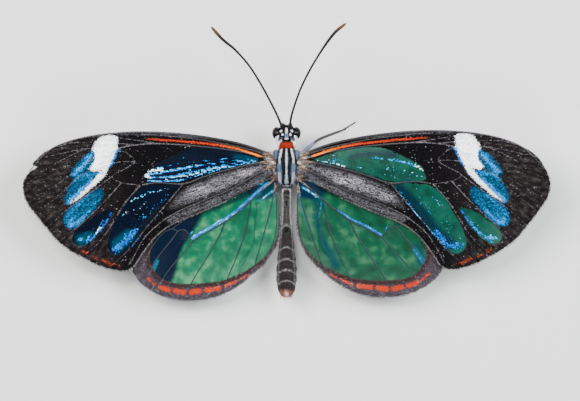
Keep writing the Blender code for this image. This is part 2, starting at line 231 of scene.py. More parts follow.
def ramp(value, low, high):
    t = np.clip((value - low) / (high - low), 0, 1)
    return t * t * (3 - 2 * t)


# Wings

wingForm = {
    "length": 25.2,
    "rootHeight": 5.0,
    "tipRise": 1.6,
    "tipArch": 1.2,
    "rearSlope": 0.045,
    "rearSag": 0.004,
    "thickness": 0.045,
    "grid": 0.17,
    "rowShare": 0.866,              # gap between rows of the net, in grid steps
    "rimClear": 0.45,               # and how far its inner points stay from the margin
    "marginStep": 0.13,
    "pleatDepth": 0.05,
    "pleatReach": 0.9,
    "ripples": ((0.012, 1.7, 0.9), (0.004, 4.1, -2.3)),     # height, and waves out and back
    "leanFrom": (1.6, 4.5),
    "veinStep": 0.22,
    "veinSides": 8}

foreWing = {
    "name": "forewing",
    "root": (0.9, 0.2),
    "scalesFrom": (0.6, 0.4),       # the scales lie away from here
    "sweep": {"left": -0.3, "right": 0.3},
    "pivot": (1.5, 0.25),
    "lift": -0.14,                  # from the middle of the solid's sheet
    "lean": ("anal", 1.2, 3.2, -0.15),      # towards the other wing: along which vein, full and none at, how far
    "fringeFrom": (0.36, 0.93),     # share of the margin's length, from the front of the root
    "fringeDark": (0.055, 0.046, 0.046),
    "fringePale": (0.34, 0.33, 0.34),
    "notch": ((23.45, -0.68), (24.26, 0.16), (23.80, 0.48), (24.45, 0.86), (24.95, 1.45)),
    "margin": (
        (1.30, -0.62), (2.5, -0.98), (4.5, -1.72), (6.4, -2.15), (8.3, -2.45), (12.1, -2.82), (16.0, -2.81),
        (19.8, -2.30), (22.7, -1.20), (23.9, -0.35), (24.75, 0.85), (25.2, 2.2), (24.95, 3.6), (24.0, 5.0),
        (22.1, 7.35), (20.8, 8.4), (19.2, 9.32), (17.8, 9.98), (16.4, 10.36), (15.5, 10.4), (14.8, 10.05),
        (14.35, 9.4), (13.6, 8.3), (12.6, 7.1), (11.1, 6.0), (8.5, 4.9), (5.6, 3.65), (3.5, 2.72), (2.4, 1.95),
        (1.3, 1.05)),
    "veins": {                      # route, and radius at its start and end
        "costa": (((1.35, -0.60), (4.5, -1.68), (8.3, -2.41), (12.1, -2.78), (16.0, -2.77), (19.8, -2.26),
                   (22.7, -1.16), (24.7, 0.9)), 0.12, 0.05),
        "subcosta": (((1.3, -0.45), (4.4, -1.33), (8.3, -2.08), (11.5, -2.45), (13.9, -2.62)), 0.10, 0.05),
        "radius": (((1.3, -0.2), (4.4, -0.92), (8.3, -1.45), (12.1, -1.70), (14.4, -1.60), (16.1, -1.30)), 0.12, 0.07),
        "radius1": (((12.1, -1.7), (14.4, -2.05), (16.8, -2.35), (19.0, -2.38)), 0.06, 0.04),
        "radius2": (((14.4, -1.6), (17.3, -1.85), (20.2, -1.85), (22.1, -1.45)), 0.06, 0.04),
        "radius3": (((16.1, -1.3), (19.2, -1.25), (21.6, -0.8), (23.9, -0.3)), 0.06, 0.04),
        "radius4": (((19.2, -1.25), (21.1, -0.4), (23.0, 0.7), (25.0, 2.2)), 0.06, 0.04),
        "radius5": (((16.1, -1.3), (18.2, -0.45), (20.0, 0.7), (21.6, 1.9), (24.8, 3.9)), 0.06, 0.04),
        "media1": (((14.5, 0.0), (16.2, 0.05), (18.2, 0.55), (20.0, 1.5), (21.6, 3.0), (24.0, 4.95)), 0.06, 0.04),
        "media2": (((16.7, 1.4), (18.6, 2.8), (20.9, 4.45), (23.0, 6.3)), 0.065, 0.04),
        "media3": (((15.8, 2.0), (17.4, 3.75), (19.1, 5.4), (20.7, 6.75), (21.8, 7.6)), 0.07, 0.04),
        "cellEnd": (((16.1, -1.3), (15.3, -0.85), (14.5, 0.0), (15.4, 0.65), (16.7, 1.4), (15.8, 2.0), (14.0, 2.26)),
                    0.055, 0.055),
        "cubitus": (((1.3, 0.0), (3.2, 0.24), (6.0, 0.9), (8.0, 1.5), (9.9, 2.14), (12.4, 2.02), (14.0, 2.26)),
                    0.13, 0.07),
        "cubitus1": (((14.0, 2.26), (15.4, 3.85), (16.3, 5.2), (17.2, 6.7), (18.3, 8.0), (19.7, 9.1)), 0.07, 0.04),
        "cubitus2": (((9.9, 2.14), (11.8, 4.4), (13.6, 6.5), (14.9, 8.15), (16.3, 9.5), (17.1, 10.15)), 0.07, 0.04),
        "anal": (((1.3, 0.4), (3.2, 1.45), (5.6, 2.8), (8.5, 3.95), (10.9, 5.05), (12.4, 6.1), (13.8, 7.5),
                  (15.1, 9.9)), 0.11, 0.05)}}

foreMarks = {
    "clear": {
        "discal": ((2.59, -0.20), (4.18, -0.70), (5.62, -1.08), (7.06, -1.27), (8.50, -1.30), (9.46, -1.15),
                   (10.42, -0.77), (11.38, -0.29), (12.34, 0.19), (13.01, 0.67), (13.22, 1.25), (13.20, 1.92),
                   (10.90, 2.03), (9.74, 1.97), (8.50, 1.58), (6.10, 0.82), (4.18, 0.34), (2.83, 0.02)),
        "large": ((10.25, 2.30), (12.34, 2.17), (13.30, 2.28), (14.06, 2.59), (14.74, 3.17), (15.41, 4.03),
                  (15.98, 4.99), (16.66, 6.14), (17.14, 7.39), (17.20, 8.20), (16.75, 8.83), (15.98, 8.96),
                  (15.31, 8.45), (14.35, 7.27), (13.30, 5.97), (12.05, 4.42), (10.98, 3.10)),
        "small": ((16.56, 4.51), (17.23, 4.61), (18.19, 4.99), (19.25, 5.76), (20.21, 6.53), (20.59, 7.30),
                  (20.40, 7.87), (19.63, 8.06), (18.77, 7.58), (18.00, 6.82), (17.23, 5.86), (16.66, 4.99))},
    "blue": {
        "upper": ((17.60, -1.30), (18.96, -0.77), (19.73, -0.10), (20.45, 0.77), (20.60, 1.38), (19.87, 1.38),
                  (19.15, 0.85), (17.90, 0.50)),
        "middle": ((17.50, 0.96), (18.96, 0.95), (20.02, 1.34), (20.66, 2.11), (21.05, 2.98), (21.25, 3.70),
                   (20.80, 4.10), (20.02, 3.42), (19.06, 2.46), (18.19, 1.69)),
        "lower": ((17.66, 2.50), (18.40, 2.78), (19.54, 3.40), (20.50, 4.13), (21.17, 4.99), (21.30, 5.80),
                  (20.62, 6.36), (19.82, 6.02), (18.96, 5.20), (18.19, 4.36), (17.50, 3.40))},
    "white": {
        "band": ((16.13, -2.36), (16.70, -2.52), (17.55, -2.42), (18.10, -1.92), (18.46, -1.25), (18.34, -0.80),
                 (18.36, -0.10), (18.62, 0.36), (18.80, 0.72), (18.40, 0.92), (17.86, 0.80), (16.98, 0.50),
                 (16.62, -0.10), (16.30, -0.77), (16.06, -1.73)),
        "tongue": ((16.95, 0.45), (17.75, 0.90), (18.34, 1.62), (19.06, 2.42), (19.88, 3.26), (20.70, 4.02),
                   (19.90, 3.54), (18.98, 2.84), (18.02, 2.02), (17.28, 1.26))},
    "orange": {                     # route, half-width at its start and end
        "line": (((2.45, -0.42), (4.46, -1.10), (6.38, -1.49), (8.30, -1.73), (10.22, -1.92), (12.14, -2.06),
                  (13.3, -2.14)), 0.100, 0.080),
        "fleck1": (((19.6, 8.42), (19.05, 8.78)), 0.10, 0.12),
        "fleck2": (((18.55, 9.0), (18.1, 9.3)), 0.11, 0.10),
        "fleck3": (((17.6, 9.35), (16.7, 9.85)), 0.14, 0.12),
        "fleck4": (((16.4, 9.75), (15.9, 10.0)), 0.08, 0.06)},
    "silver": ((1.3, 0.05), (4.2, 0.75), (7.2, 1.6), (9.8, 2.75), (11.3, 4.35), (10.6, 4.45), (8.5, 3.75),
               (5.6, 2.6), (3.2, 1.5), (1.5, 0.75)),
    "silverLine": (((5.8, -2.02), (8.3, -2.28), (12.1, -2.55), (16.0, -2.62)), 0.10, 0.08),
    "innerStrip": (((1.5, 0.95), (2.6, 1.75), (5.6, 3.25), (8.5, 4.45), (11.0, 5.6)), 0.30, 0.36),
    "gleam": {                      # painted highlights on the silver strip: place, and reach out and back
        "left": ((9.0, 2.7, 1.2, 0.50), (3.9, 1.0, 1.2, 0.30)),
        "right": ((5.0, 2.0, 1.5, 0.42), (9.6, 3.4, 1.0, 0.4))},
    "fan": (13.4, -0.4)}            # where the rays of the wing tip come from

# Painted glints: reflections of light on the wings' structural blue, painted into the colour. Each is a
# route, half-width at its start and end, strength, and hue from 0 (violet blue) through 0.5 (bright cyan) to 1 (white)
foreGlints = {
    "left": (
        (((2.8, 0.02), (5.5, 0.55), (8.2, 1.25), (10.6, 1.85), (13.3, 1.86)), 0.09, 0.11, 1.05, 0.56),
        (((3.2, -0.08), (5.8, 0.34), (8.6, 0.92), (11.0, 1.42), (13.2, 1.58)), 0.09, 0.12, 1.0, 0.50),
        (((5.6, 0.44), (7.4, 0.82), (9.4, 1.30), (11.6, 1.62)), 0.06, 0.08, 1.25, 0.76),
        (((3.6, -0.20), (6.4, 0.12), (9.2, 0.58), (11.6, 1.02), (13.3, 1.28)), 0.07, 0.12, 0.85, 0.42),
        (((8.0, 0.30), (10.4, 0.72), (12.6, 1.12)), 0.05, 0.08, 1.15, 0.70),
        (((5.2, -0.30), (7.6, -0.10), (10.2, 0.20), (12.6, 0.66)), 0.05, 0.08, 0.75, 0.42),
        (((6.5, -0.62), (8.6, -0.55), (10.6, -0.30)), 0.03, 0.05, 0.6, 0.4),
        (((11.9, 0.66), (12.9, 0.92), (13.3, 1.30)), 0.16, 0.24, 1.05, 0.92),
        (((2.8, -0.42), (4.2, -0.55)), 0.08, 0.10, 0.6, 0.6),
        (((4.0, 0.10), (8.0, 0.60), (12.8, 1.1)), 0.30, 0.75, 0.30, 0.35),
        (((11.5, 3.4), (13.6, 5.2), (16.2, 8.0)), 0.55, 0.85, 0.42, 0.35),
        (((17.2, 5.5), (19.9, 7.5)), 0.35, 0.5, 0.45, 0.35),
        (((10.7, 3.3), (12.2, 5.1), (13.7, 6.9), (15.0, 8.3)), 0.09, 0.12, 0.9, 0.35),
        (((11.3, 2.65), (13.1, 2.95), (14.9, 3.80)), 0.14, 0.20, 0.66, 0.62),
        (((14.0, 4.35), (15.9, 5.15)), 0.12, 0.18, 0.70, 0.75),
        (((13.2, 3.4), (14.2, 4.6), (14.8, 6.0)), 0.30, 0.26, 0.50, 0.6),
        (((14.6, 6.6), (15.6, 7.8), (16.5, 8.4)), 0.30, 0.60, 0.85, 0.32),
        (((16.1, 8.1), (16.7, 8.5)), 0.24, 0.24, 1.0, 0.5),
        (((16.8, 5.0), (17.7, 6.4)), 0.26, 0.24, 0.80, 0.14),
        (((17.7, 6.4), (18.4, 7.1), (19.2, 7.7)), 0.24, 0.26, 0.82, 0.36),
        (((17.9, 6.3), (18.3, 6.9)), 0.20, 0.16, 0.8, 1.0),
        (((19.0, 7.2), (19.9, 7.5)), 0.36, 0.38, 0.68, 0.45),
        (((19.5, 7.3), (20.1, 7.4)), 0.20, 0.22, 0.85, 0.60)),
    "right": (
        (((2.9, -0.05), (4.4, 0.22), (5.6, 0.55)), 0.10, 0.09, 0.95, 0.75),
        (((9.6, 0.55), (12.9, 1.45)), 0.35, 0.45, 0.34, 0.5),
        (((12.3, 3.3), (14.9, 5.6), (16.2, 7.9)), 0.8, 0.8, 0.36, 0.35),
        (((17.5, 5.6), (19.9, 7.5)), 0.35, 0.5, 0.34, 0.4),
        (((3.4, -0.42), (4.7, -0.52), (6.0, -0.92)), 0.05, 0.04, 0.62, 0.62),
        (((4.2, 0.05), (6.4, 0.45), (9.4, 1.35), (12.0, 1.9)), 0.22, 0.30, 0.38, 0.45),
        (((4.4, -0.15), (5.6, 0.10)), 0.14, 0.10, 0.7, 0.4),
        (((8.2, -0.25), (9.8, -0.10), (11.2, 0.15), (12.4, 0.55)), 0.08, 0.20, 0.9, 0.50),
        (((12.4, 0.45), (13.0, 0.90)), 0.16, 0.14, 0.9, 0.9),
        (((9.4, 0.75), (11.6, 1.35), (13.0, 1.60)), 0.10, 0.16, 0.5, 0.5),
        (((10.4, 2.55), (12.2, 4.85), (13.7, 6.7), (15.2, 8.3)), 0.07, 0.09, 1.0, 0.45),
        (((14.3, 6.9), (15.4, 8.1), (16.7, 8.2)), 0.40, 0.55, 0.80, 0.32),
        (((13.9, 3.4), (14.7, 4.3)), 0.22, 0.20, 0.60, 0.55),
        (((13.9, 3.75), (15.0, 4.3)), 0.08, 0.10, 0.6, 0.7),
        (((13.2, 4.4), (14.6, 6.4)), 0.16, 0.20, 0.45, 0.25),
        (((16.75, 4.75), (17.2, 5.5), (17.7, 6.2)), 0.24, 0.22, 0.74, 0.12),
        (((17.5, 5.9), (18.5, 7.0), (19.6, 7.75)), 0.30, 0.38, 0.70, 0.42),
        (((19.3, 7.4), (20.1, 7.5)), 0.36, 0.32, 0.84, 0.55))}

# Painted glints along the lower side of the blue windows, on both wings: bright scales with painted reflections
foreGlintsBoth = (
    (((18.8, -0.55), (19.5, 0.35), (20.3, 1.15)), 0.20, 0.26, 0.9, 0.4),
    (((18.5, -0.9), (19.3, -0.4)), 0.22, 0.20, 0.55, 0.4),
    (((18.8, 1.1), (19.6, 1.3), (20.5, 1.9)), 0.16, 0.16, 0.6, 0.3),
    (((18.7, 1.8), (19.9, 3.0), (20.9, 3.95)), 0.24, 0.22, 1.0, 0.5),
    (((18.9, 4.7), (20.0, 5.75), (20.8, 6.1)), 0.12, 0.30, 1.0, 0.4),
    (((20.3, 5.4), (20.9, 5.7)), 0.34, 0.34, 0.45, 0.4),
    (((18.3, 3.9), (18.9, 4.7), (19.6, 5.5)), 0.14, 0.16, 0.5, 0.3),
    (((19.0, 3.3), (20.3, 4.4), (21.0, 5.2)), 0.10, 0.20, 0.6, 0.3),
    (((16.06, -1.2), (16.24, -0.65), (16.56, 0.0), (16.92, 0.6)), 0.20, 0.26, 0.95, 0.42),
    (((17.4, 1.05), (18.4, 1.15), (19.2, 1.35)), 0.16, 0.10, 0.8, 0.35))

hindWing = {
    "name": "hindwing",
    "root": (0.9, 1.6),
    "scalesFrom": (0.6, 1.6),
    "sweep": {"left": -1.15, "right": 1.15},
    "pivot": (1.35, 1.9),
    "lift": -1.04,
    "lean": ("costa", 0.8, 3.6, 0.30),
    "fringeFrom": (0.38, 0.94),
    "fringeDark": (0.050, 0.045, 0.052),
    "fringePale": (0.24, 0.23, 0.27),
    "margin": (
        (1.15, 1.15), (3.6, 1.9), (6.6, 3.2), (9.6, 4.5), (12.2, 6.1), (14.1, 8.2), (14.85, 9.9), (14.7, 10.7),
        (14.1, 11.5), (13.1, 12.25), (11.8, 12.85), (10.3, 13.15), (8.7, 13.17), (7.2, 12.95), (5.8, 12.4),
        (4.6, 11.65), (3.5, 10.75), (2.5, 9.75), (1.75, 8.75), (1.25, 7.6), (0.98, 6.3), (0.93, 4.7), (0.98, 3.3),
        (1.1, 2.3)),
    "leftInner": ((2.37, 9.87), (1.80, 8.98), (1.31, 8.40), (0.96, 7.58), (0.77, 6.4), (0.74, 5.2), (0.81, 3.74),
                  (0.95, 2.7)),
    "veins": {
        "costa": (((1.3, 1.25), (3.6, 1.95), (6.6, 3.25), (9.6, 4.55), (12.2, 6.15), (14.0, 8.2)), 0.08, 0.05),
        "radius": (((1.15, 1.5), (4.3, 2.75), (8.2, 4.5), (11.1, 6.3)), 0.09, 0.06),
        "media1": (((11.1, 6.3), (12.0, 6.75), (12.95, 7.9), (13.6, 9.15), (14.3, 10.9)), 0.070, 0.05),
        "cellEnd": (((11.1, 6.3), (10.5, 6.5), (10.0, 6.4), (9.65, 6.65), (9.5, 7.05), (9.12, 7.5)), 0.060, 0.060),
        "media2": (((10.5, 6.5), (11.2, 7.45), (12.1, 8.5), (12.9, 9.6), (13.5, 11.0)), 0.070, 0.05),
        "media3": (((9.12, 7.5), (10.0, 8.6), (10.9, 9.6), (11.8, 10.7), (12.7, 12.2)), 0.078, 0.055),
        "cubitus": (((1.15, 1.75), (2.5, 2.85), (4.2, 4.4), (5.1, 5.1), (6.0, 5.75), (7.9, 6.8), (9.12, 7.5)),
                    0.11, 0.07),
        "cubitus1": (((6.0, 5.75), (6.4, 6.75), (7.1, 8.0), (7.9, 9.3), (8.75, 10.6), (9.45, 11.8), (9.9, 13.0)),
                     0.078, 0.055),
        "cubitus2": (((3.45, 3.95), (3.7, 5.1), (4.0, 6.6), (4.5, 8.0), (5.05, 9.4), (5.7, 10.8), (6.4, 12.4)),
                     0.078, 0.055),
        "anal": (((1.1, 2.1), (1.4, 3.8), (1.8, 5.4), (2.23, 6.8), (2.65, 8.2), (3.4, 10.5)), 0.080, 0.055),
        "anal2": (((1.05, 2.3), (0.99, 4.6), (1.05, 6.3), (1.32, 7.6), (1.85, 8.75)), 0.07, 0.05),
        "fork": (((2.90, 3.9), (2.95, 5.0), (3.10, 6.2), (3.24, 7.4), (3.50, 8.3), (4.05, 9.3), (4.55, 10.1)),
                 0.045, 0.030)}}

hindMarks = {
    "clear": ((1.20, 1.6), (4.2, 2.1), (8.2, 3.6), (11.4, 5.5), (12.45, 6.55), (13.05, 7.9), (13.28, 9.2),
              (13.0, 10.1), (12.3, 11.0), (10.9, 11.55), (8.3, 11.62), (6.25, 11.35), (4.6, 10.72), (3.14, 9.88),
              (1.90, 8.58), (1.24, 7.05), (1.03, 5.0), (1.04, 3.0)),
    "clearLeft": ((1.84, 8.68), (1.00, 7.15), (0.84, 5.0), (0.92, 3.0)),
    "orange": {
        "band1": (((13.42, 10.98), (13.18, 11.18)), 0.12, 0.12),
        "band2": (((12.90, 11.46), (12.80, 11.54)), 0.12, 0.13),
        "band3": (((12.35, 11.80), (11.44, 12.12)), 0.18, 0.21),
        "band4": (((10.80, 12.22), (10.03, 12.36)), 0.23, 0.25),
        "band5": (((9.32, 12.38), (8.50, 12.24)), 0.25, 0.23),
        "band6": (((7.83, 12.18), (6.62, 12.02)), 0.23, 0.20),
        "band7": (((6.07, 11.86), (4.98, 11.36)), 0.14, 0.11),
        "band8": (((4.66, 11.22), (3.72, 10.78)), 0.08, 0.06)}}

# Painted glints on the hindwings, with the same columns as those of the forewings
hindGlints = {
    "left": (
        (((1.75, 2.05), (2.64, 2.78), (4.25, 4.18), (5.0, 4.82)), 0.12, 0.13, 1.3, 0.42),
        (((5.0, 4.82), (5.6, 5.22), (7.08, 6.08), (9.15, 7.24)), 0.14, 0.16, 1.3, 0.60),
        (((2.2, 2.1), (3.4, 2.35)), 0.09, 0.05, 0.9, 0.55),
        (((1.8, 1.65), (2.8, 2.15)), 0.08, 0.06, 0.8, 0.65),
        (((9.1, 6.6), (9.4, 6.9)), 0.08, 0.08, 0.8, 0.5),
        (((12.6, 9.4), (13.0, 10.2)), 0.30, 0.34, 0.50, 0.25),
        (((1.14, 3.1), (1.22, 4.1), (1.42, 5.1)), 0.20, 0.16, 0.30, 0.55),
        (((1.35, 2.85), (2.0, 3.36), (2.75, 3.95)), 0.13, 0.10, 0.85, 0.70),
        (((2.5, 3.0), (3.4, 3.7), (4.6, 4.75)), 0.14, 0.20, 0.5, 0.4)),
    "right": (
        (((4.93, 4.81), (6.23, 5.68), (7.62, 6.42), (9.02, 7.27)), 0.08, 0.10, 1.3, 0.45),
        (((9.6, 6.5), (9.4, 6.95)), 0.10, 0.08, 0.7, 0.5),
        (((2.0, 1.8), (3.2, 2.4)), 0.08, 0.05, 0.7, 0.6),
        (((1.14, 2.9), (1.32, 4.0), (1.64, 5.2), (2.05, 6.4)), 0.20, 0.16, 0.38, 0.55),
        (((12.2, 8.7), (13.0, 9.9)), 0.26, 0.30, 0.60, 0.40),
        (((1.50, 2.50), (2.35, 3.05), (3.15, 3.6)), 0.13, 0.10, 0.85, 0.70),
        (((3.34, 3.95), (3.2, 4.7), (3.0, 5.5)), 0.11, 0.11, 0.56, 0.45),
        (((9.8, 8.3), (10.9, 9.9)), 0.10, 0.08, 0.4, 0.6))}


# As in the photo, the left forewing has a nick near its tip, and the left hindwing lies nearer
# to the abdomen
def wingMargin(wing, label):
    points = list(wing["margin"])
    if wing is foreWing and label == "left":
        start = points.index((23.9, -0.35))
        points[start:start + 2] = wing["notch"]
    if wing is hindWing and label == "left":
        points[points.index((2.5, 9.75)):] = wing["leftInner"]
    return points


def membraneHeight(out, back):
    share = out / wingForm["length"]
    return (wingForm["rootHeight"] + wingForm["tipRise"] * share - wingForm["tipArch"] * share ** 2
            - wingForm["rearSlope"] * back - wingForm["rearSag"] * back * np.abs(back))


def turnedPlan(places, wing, degrees):
    pivot = np.array(wing["pivot"])
    turn = math.radians(degrees)
    spin = np.array(((math.cos(turn), -math.sin(turn)), (math.sin(turn), math.cos(turn))))
    return (places - pivot) @ spin.T + pivot


def veinDistance(places, wing):
    found = np.full(len(places), 1e9)
    for route, _, _ in wing["veins"].values():
        found = np.minimum(found, lineField(places, smoothCurve(route, 0.4))[0])
    return found


# Distance to a route, and the route's half-width beside each place
def routeField(places, route, start, end, step):
    line = smoothCurve(route, step)
    far, _, along = lineField(places, line)
    return far, start + (end - start) * along / runAlong(line)[-1]


def strokeField(places, route, start, end):
    far, width = routeField(places, route, start, end, 0.3)
    return width - far


def glintFields(places, glints):
    strength = np.zeros(len(places))
    hue = np.zeros(len(places))
    for route, start, end, power, shade in glints:
        far, width = routeField(places, route, start, end, 0.25)
        value = power * np.exp(-(far / width) ** 2)
        hue = np.where(value > strength, shade, hue)
        strength = np.maximum(strength, value)
    return strength, hue


# What the markings are made from, at each place of the plan: distances in millimetres, positive
# inside a mark, and shares from 0 to 1
def wingFields(places, wing, label):
    out, back = places.T
    fields = {
        "rimDistance": lineField(places, smoothCurve(wingMargin(wing, label), 0.3))[0],
        "veinDistance": veinDistance(places, wing),
        "outShare": out / wingForm["length"],
        "rootDistance": np.hypot(out - wing["root"][0], back - wing["root"][1])}
    if wing is foreWing:
        marks = foreMarks
        for key in ("clear", "blue", "white"):
            fields[key + "Distance"] = np.maximum.reduce([loopField(places, loop) for loop in marks[key].values()])
        silver = ramp(loopField(places, marks["silver"]), -0.25, 0.55)
        # The strip fades towards its outer end, and is brighter about 5.6 mm out, where a painted highlight lies
        silver *= (1 - 0.55 * ramp(out, 7.5, 11.5)) * (0.72 + 0.28 * np.exp(-((out - 5.6) / 2.6) ** 2))
        silver = np.maximum(silver, 0.30 * ramp(strokeField(places, *marks["silverLine"]), -0.08, 0.06))
        silver = np.maximum(silver, 0.42 * ramp(strokeField(places, *marks["innerStrip"]), -0.15, 0.15))
        groove = lineField(places, smoothCurve(wing["veins"]["anal"][0], 0.3))[0]
        silver *= 1 - 0.9 * np.exp(-(groove / 0.15) ** 2)
        glints = foreGlints[label] + foreGlintsBoth
        ribs = lineField(places, smoothCurve(wing["veins"]["cubitus"][0] + wing["veins"]["cubitus1"][0][1:], 0.3))
        fields["silverGleam"] = sum(np.exp(-((out - x) / wide) ** 2 - ((back - y) / deep) ** 2)
                                    for x, y, wide, deep in marks["gleam"][label])
        fanOut, fanBack = out - marks["fan"][0], back - marks["fan"][1]
        fields["fanReach"] = np.hypot(fanOut, fanBack)
        fields["fanTurn"] = np.arctan2(fanBack, fanOut) * 6
    else:
        marks = hindMarks
        clear = marks["clear"] if label == "right" else marks["clear"][:-4] + marks["clearLeft"]
        fields["clearDistance"] = loopField(places, clear)
        fields["blueDistance"] = fields["whiteDistance"] = np.full(len(places), -3.0)
        silver = 0.35 * ramp(fields["rimDistance"], 0.9, 0.1)
        fields["rootShade"] = ramp(np.hypot(out - 2.2, (back - 2.0) * 1.15), 2.6, 1.3)
        glints = hindGlints[label]
        ribs = lineField(places, smoothCurve(wing["veins"]["cubitus"][0], 0.3))
    fields["deepShare"] = np.maximum.reduce([ramp(strokeField(places, stroke[:-2], *stroke[-2:]), -0.75, 0.65)
                                             for stroke in wingPaint["cells"][(wing["name"], label)][3]])
    fields["orangeDistance"] = np.maximum.reduce([strokeField(places, *stroke) for stroke in marks["orange"].values()])
    fields["silverShare"] = silver
    fields["glintShare"], fields["glintHue"] = glintFields(places, glints)
    fields["acrossVeins"] = ribs[0] * ribs[1]
    fields["alongVeins"] = ribs[2]
    return fields


# At every point of a mesh: one value, a vector or a colour
def putFields(mesh, **fields):
    for name, values in fields.items():
        values = np.asarray(values, np.float32)
        if values.ndim == 0:
            values = np.full(len(mesh.vertices), values)
        kind, key = {1: ("FLOAT", "value"), 3: ("FLOAT_VECTOR", "vector"), 4: ("FLOAT_COLOR", "color")}[
            1 if values.ndim == 1 else values.shape[1]]
        mesh.attributes.new(name, kind, "POINT").data.foreach_set(key, values.ravel())


def opaque(colours):
    return np.column_stack([colours, np.ones(len(colours))])


# A flat net of triangles inside the margin, fine enough for the relief
def wingNet(wing, label):
    border = smoothCurve(wingMargin(wing, label), wingForm["marginStep"])
    low, high = border.min(0), border.max(0)
    gap = wingForm["grid"]
    rows = np.arange(low[1], high[1], gap * wingForm["rowShare"])
    inner = []
    for k, row in enumerate(rows):
        outs = np.arange(low[0] + (k % 2) * gap / 2, high[0], gap)
        inner.append(np.column_stack([outs, np.full(len(outs), row)]))
    inner = np.vstack(inner)
    closed = np.vstack([border, border[:1]])
    far = lineField(inner, closed)[0]
    inner = inner[insideLoop(inner, closed) & (far > gap * wingForm["rimClear"])]
    places = [Vector(place) for place in np.vstack([border, inner])]
    flat, _, faces, _, _, owners = delaunay_2d_cdt(places, [], [list(range(len(border)))], 1, 1e-5, True)
    kept = [list(face) for face, owner in zip(faces, owners) if owner]
    return np.array([tuple(place) for place in flat]), kept, len(border)


def wingSurface(places, wing, label):
    plan = turnedPlan(places, wing, -wing["sweep"][label])
    pleat = wingForm["pleatDepth"] * ramp(veinDistance(places, wing), 0.0, wingForm["pleatReach"])
    ripple = sum(high * np.sin(plan[:, 0] * out + plan[:, 1] * back) for high, out, back in wingForm["ripples"])
    vein, full, none, rise = wing["lean"]
    far = lineField(places, smoothCurve(wing["veins"][vein][0], 0.4))[0]
    lean = rise * ramp(far, none, full) * ramp(places[:, 0], *wingForm["leanFrom"])
    return plan, membraneHeight(plan[:, 0], plan[:, 1]) + wing["lift"] - pleat + ripple + lean


def meshFrom(name, points, faces):
    mesh = bpy.data.meshes.new(name)
    mesh.from_pydata([tuple(point) for point in points], [], faces)
    mesh.validate()
    mesh.update()
    return mesh


def vertexValues(mesh, key):
    found = np.empty(len(mesh.vertices) * 3, np.float32)
    mesh.vertices.foreach_get(key, found)
    return found.reshape(-1, 3)


def meshNormals(mesh):
    return vertexValues(mesh, "normal")


def meshPoints(mesh):
    return vertexValues(mesh, "co").astype(float) / mm


def faceOutwards(mesh, triangles=False):
    bm = bmesh.new()
    bm.from_mesh(mesh)
    if triangles:
        bmesh.ops.triangulate(bm, faces=bm.faces)
    bmesh.ops.recalc_face_normals(bm, faces=bm.faces)
    bm.to_mesh(mesh)
    bm.free()


def newObject(name, mesh):
    made = bpy.data.objects.new(name, mesh)
    bpy.context.scene.collection.objects.link(made)
    return made


def placePiece(piece, slot, *nodes):
    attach(piece, "root")
    if nodes:
        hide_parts(*nodes)


def setMaterial(piece, material):
    piece.data.materials.append(material)


# Geometry Nodes: one tree sows scales or hairs over a bed, the other sweeps tubes along curves

def newTree(name, sockets):
    tree = bpy.data.node_groups.new(name, "GeometryNodeTree")
    tree.interface.new_socket("Geometry", in_out="INPUT", socket_type="NodeSocketGeometry")
    for label, kind in sockets:
        tree.interface.new_socket(label, in_out="INPUT", socket_type=kind)
    tree.interface.new_socket("Geometry", in_out="OUTPUT", socket_type="NodeSocketGeometry")
    bench = Bench(tree)
    source = tree.nodes.new("NodeGroupInput")
    result = tree.nodes.new("NodeGroupOutput")
    inputs = {socket.name: Wire(bench, socket) for socket in source.outputs if socket.name}
    return tree, bench, inputs, result


def named(bench, name, kind="FLOAT"):
    return bench.add("GeometryNodeInputNamedAttribute", {"data_type": kind}, {"Name": name})


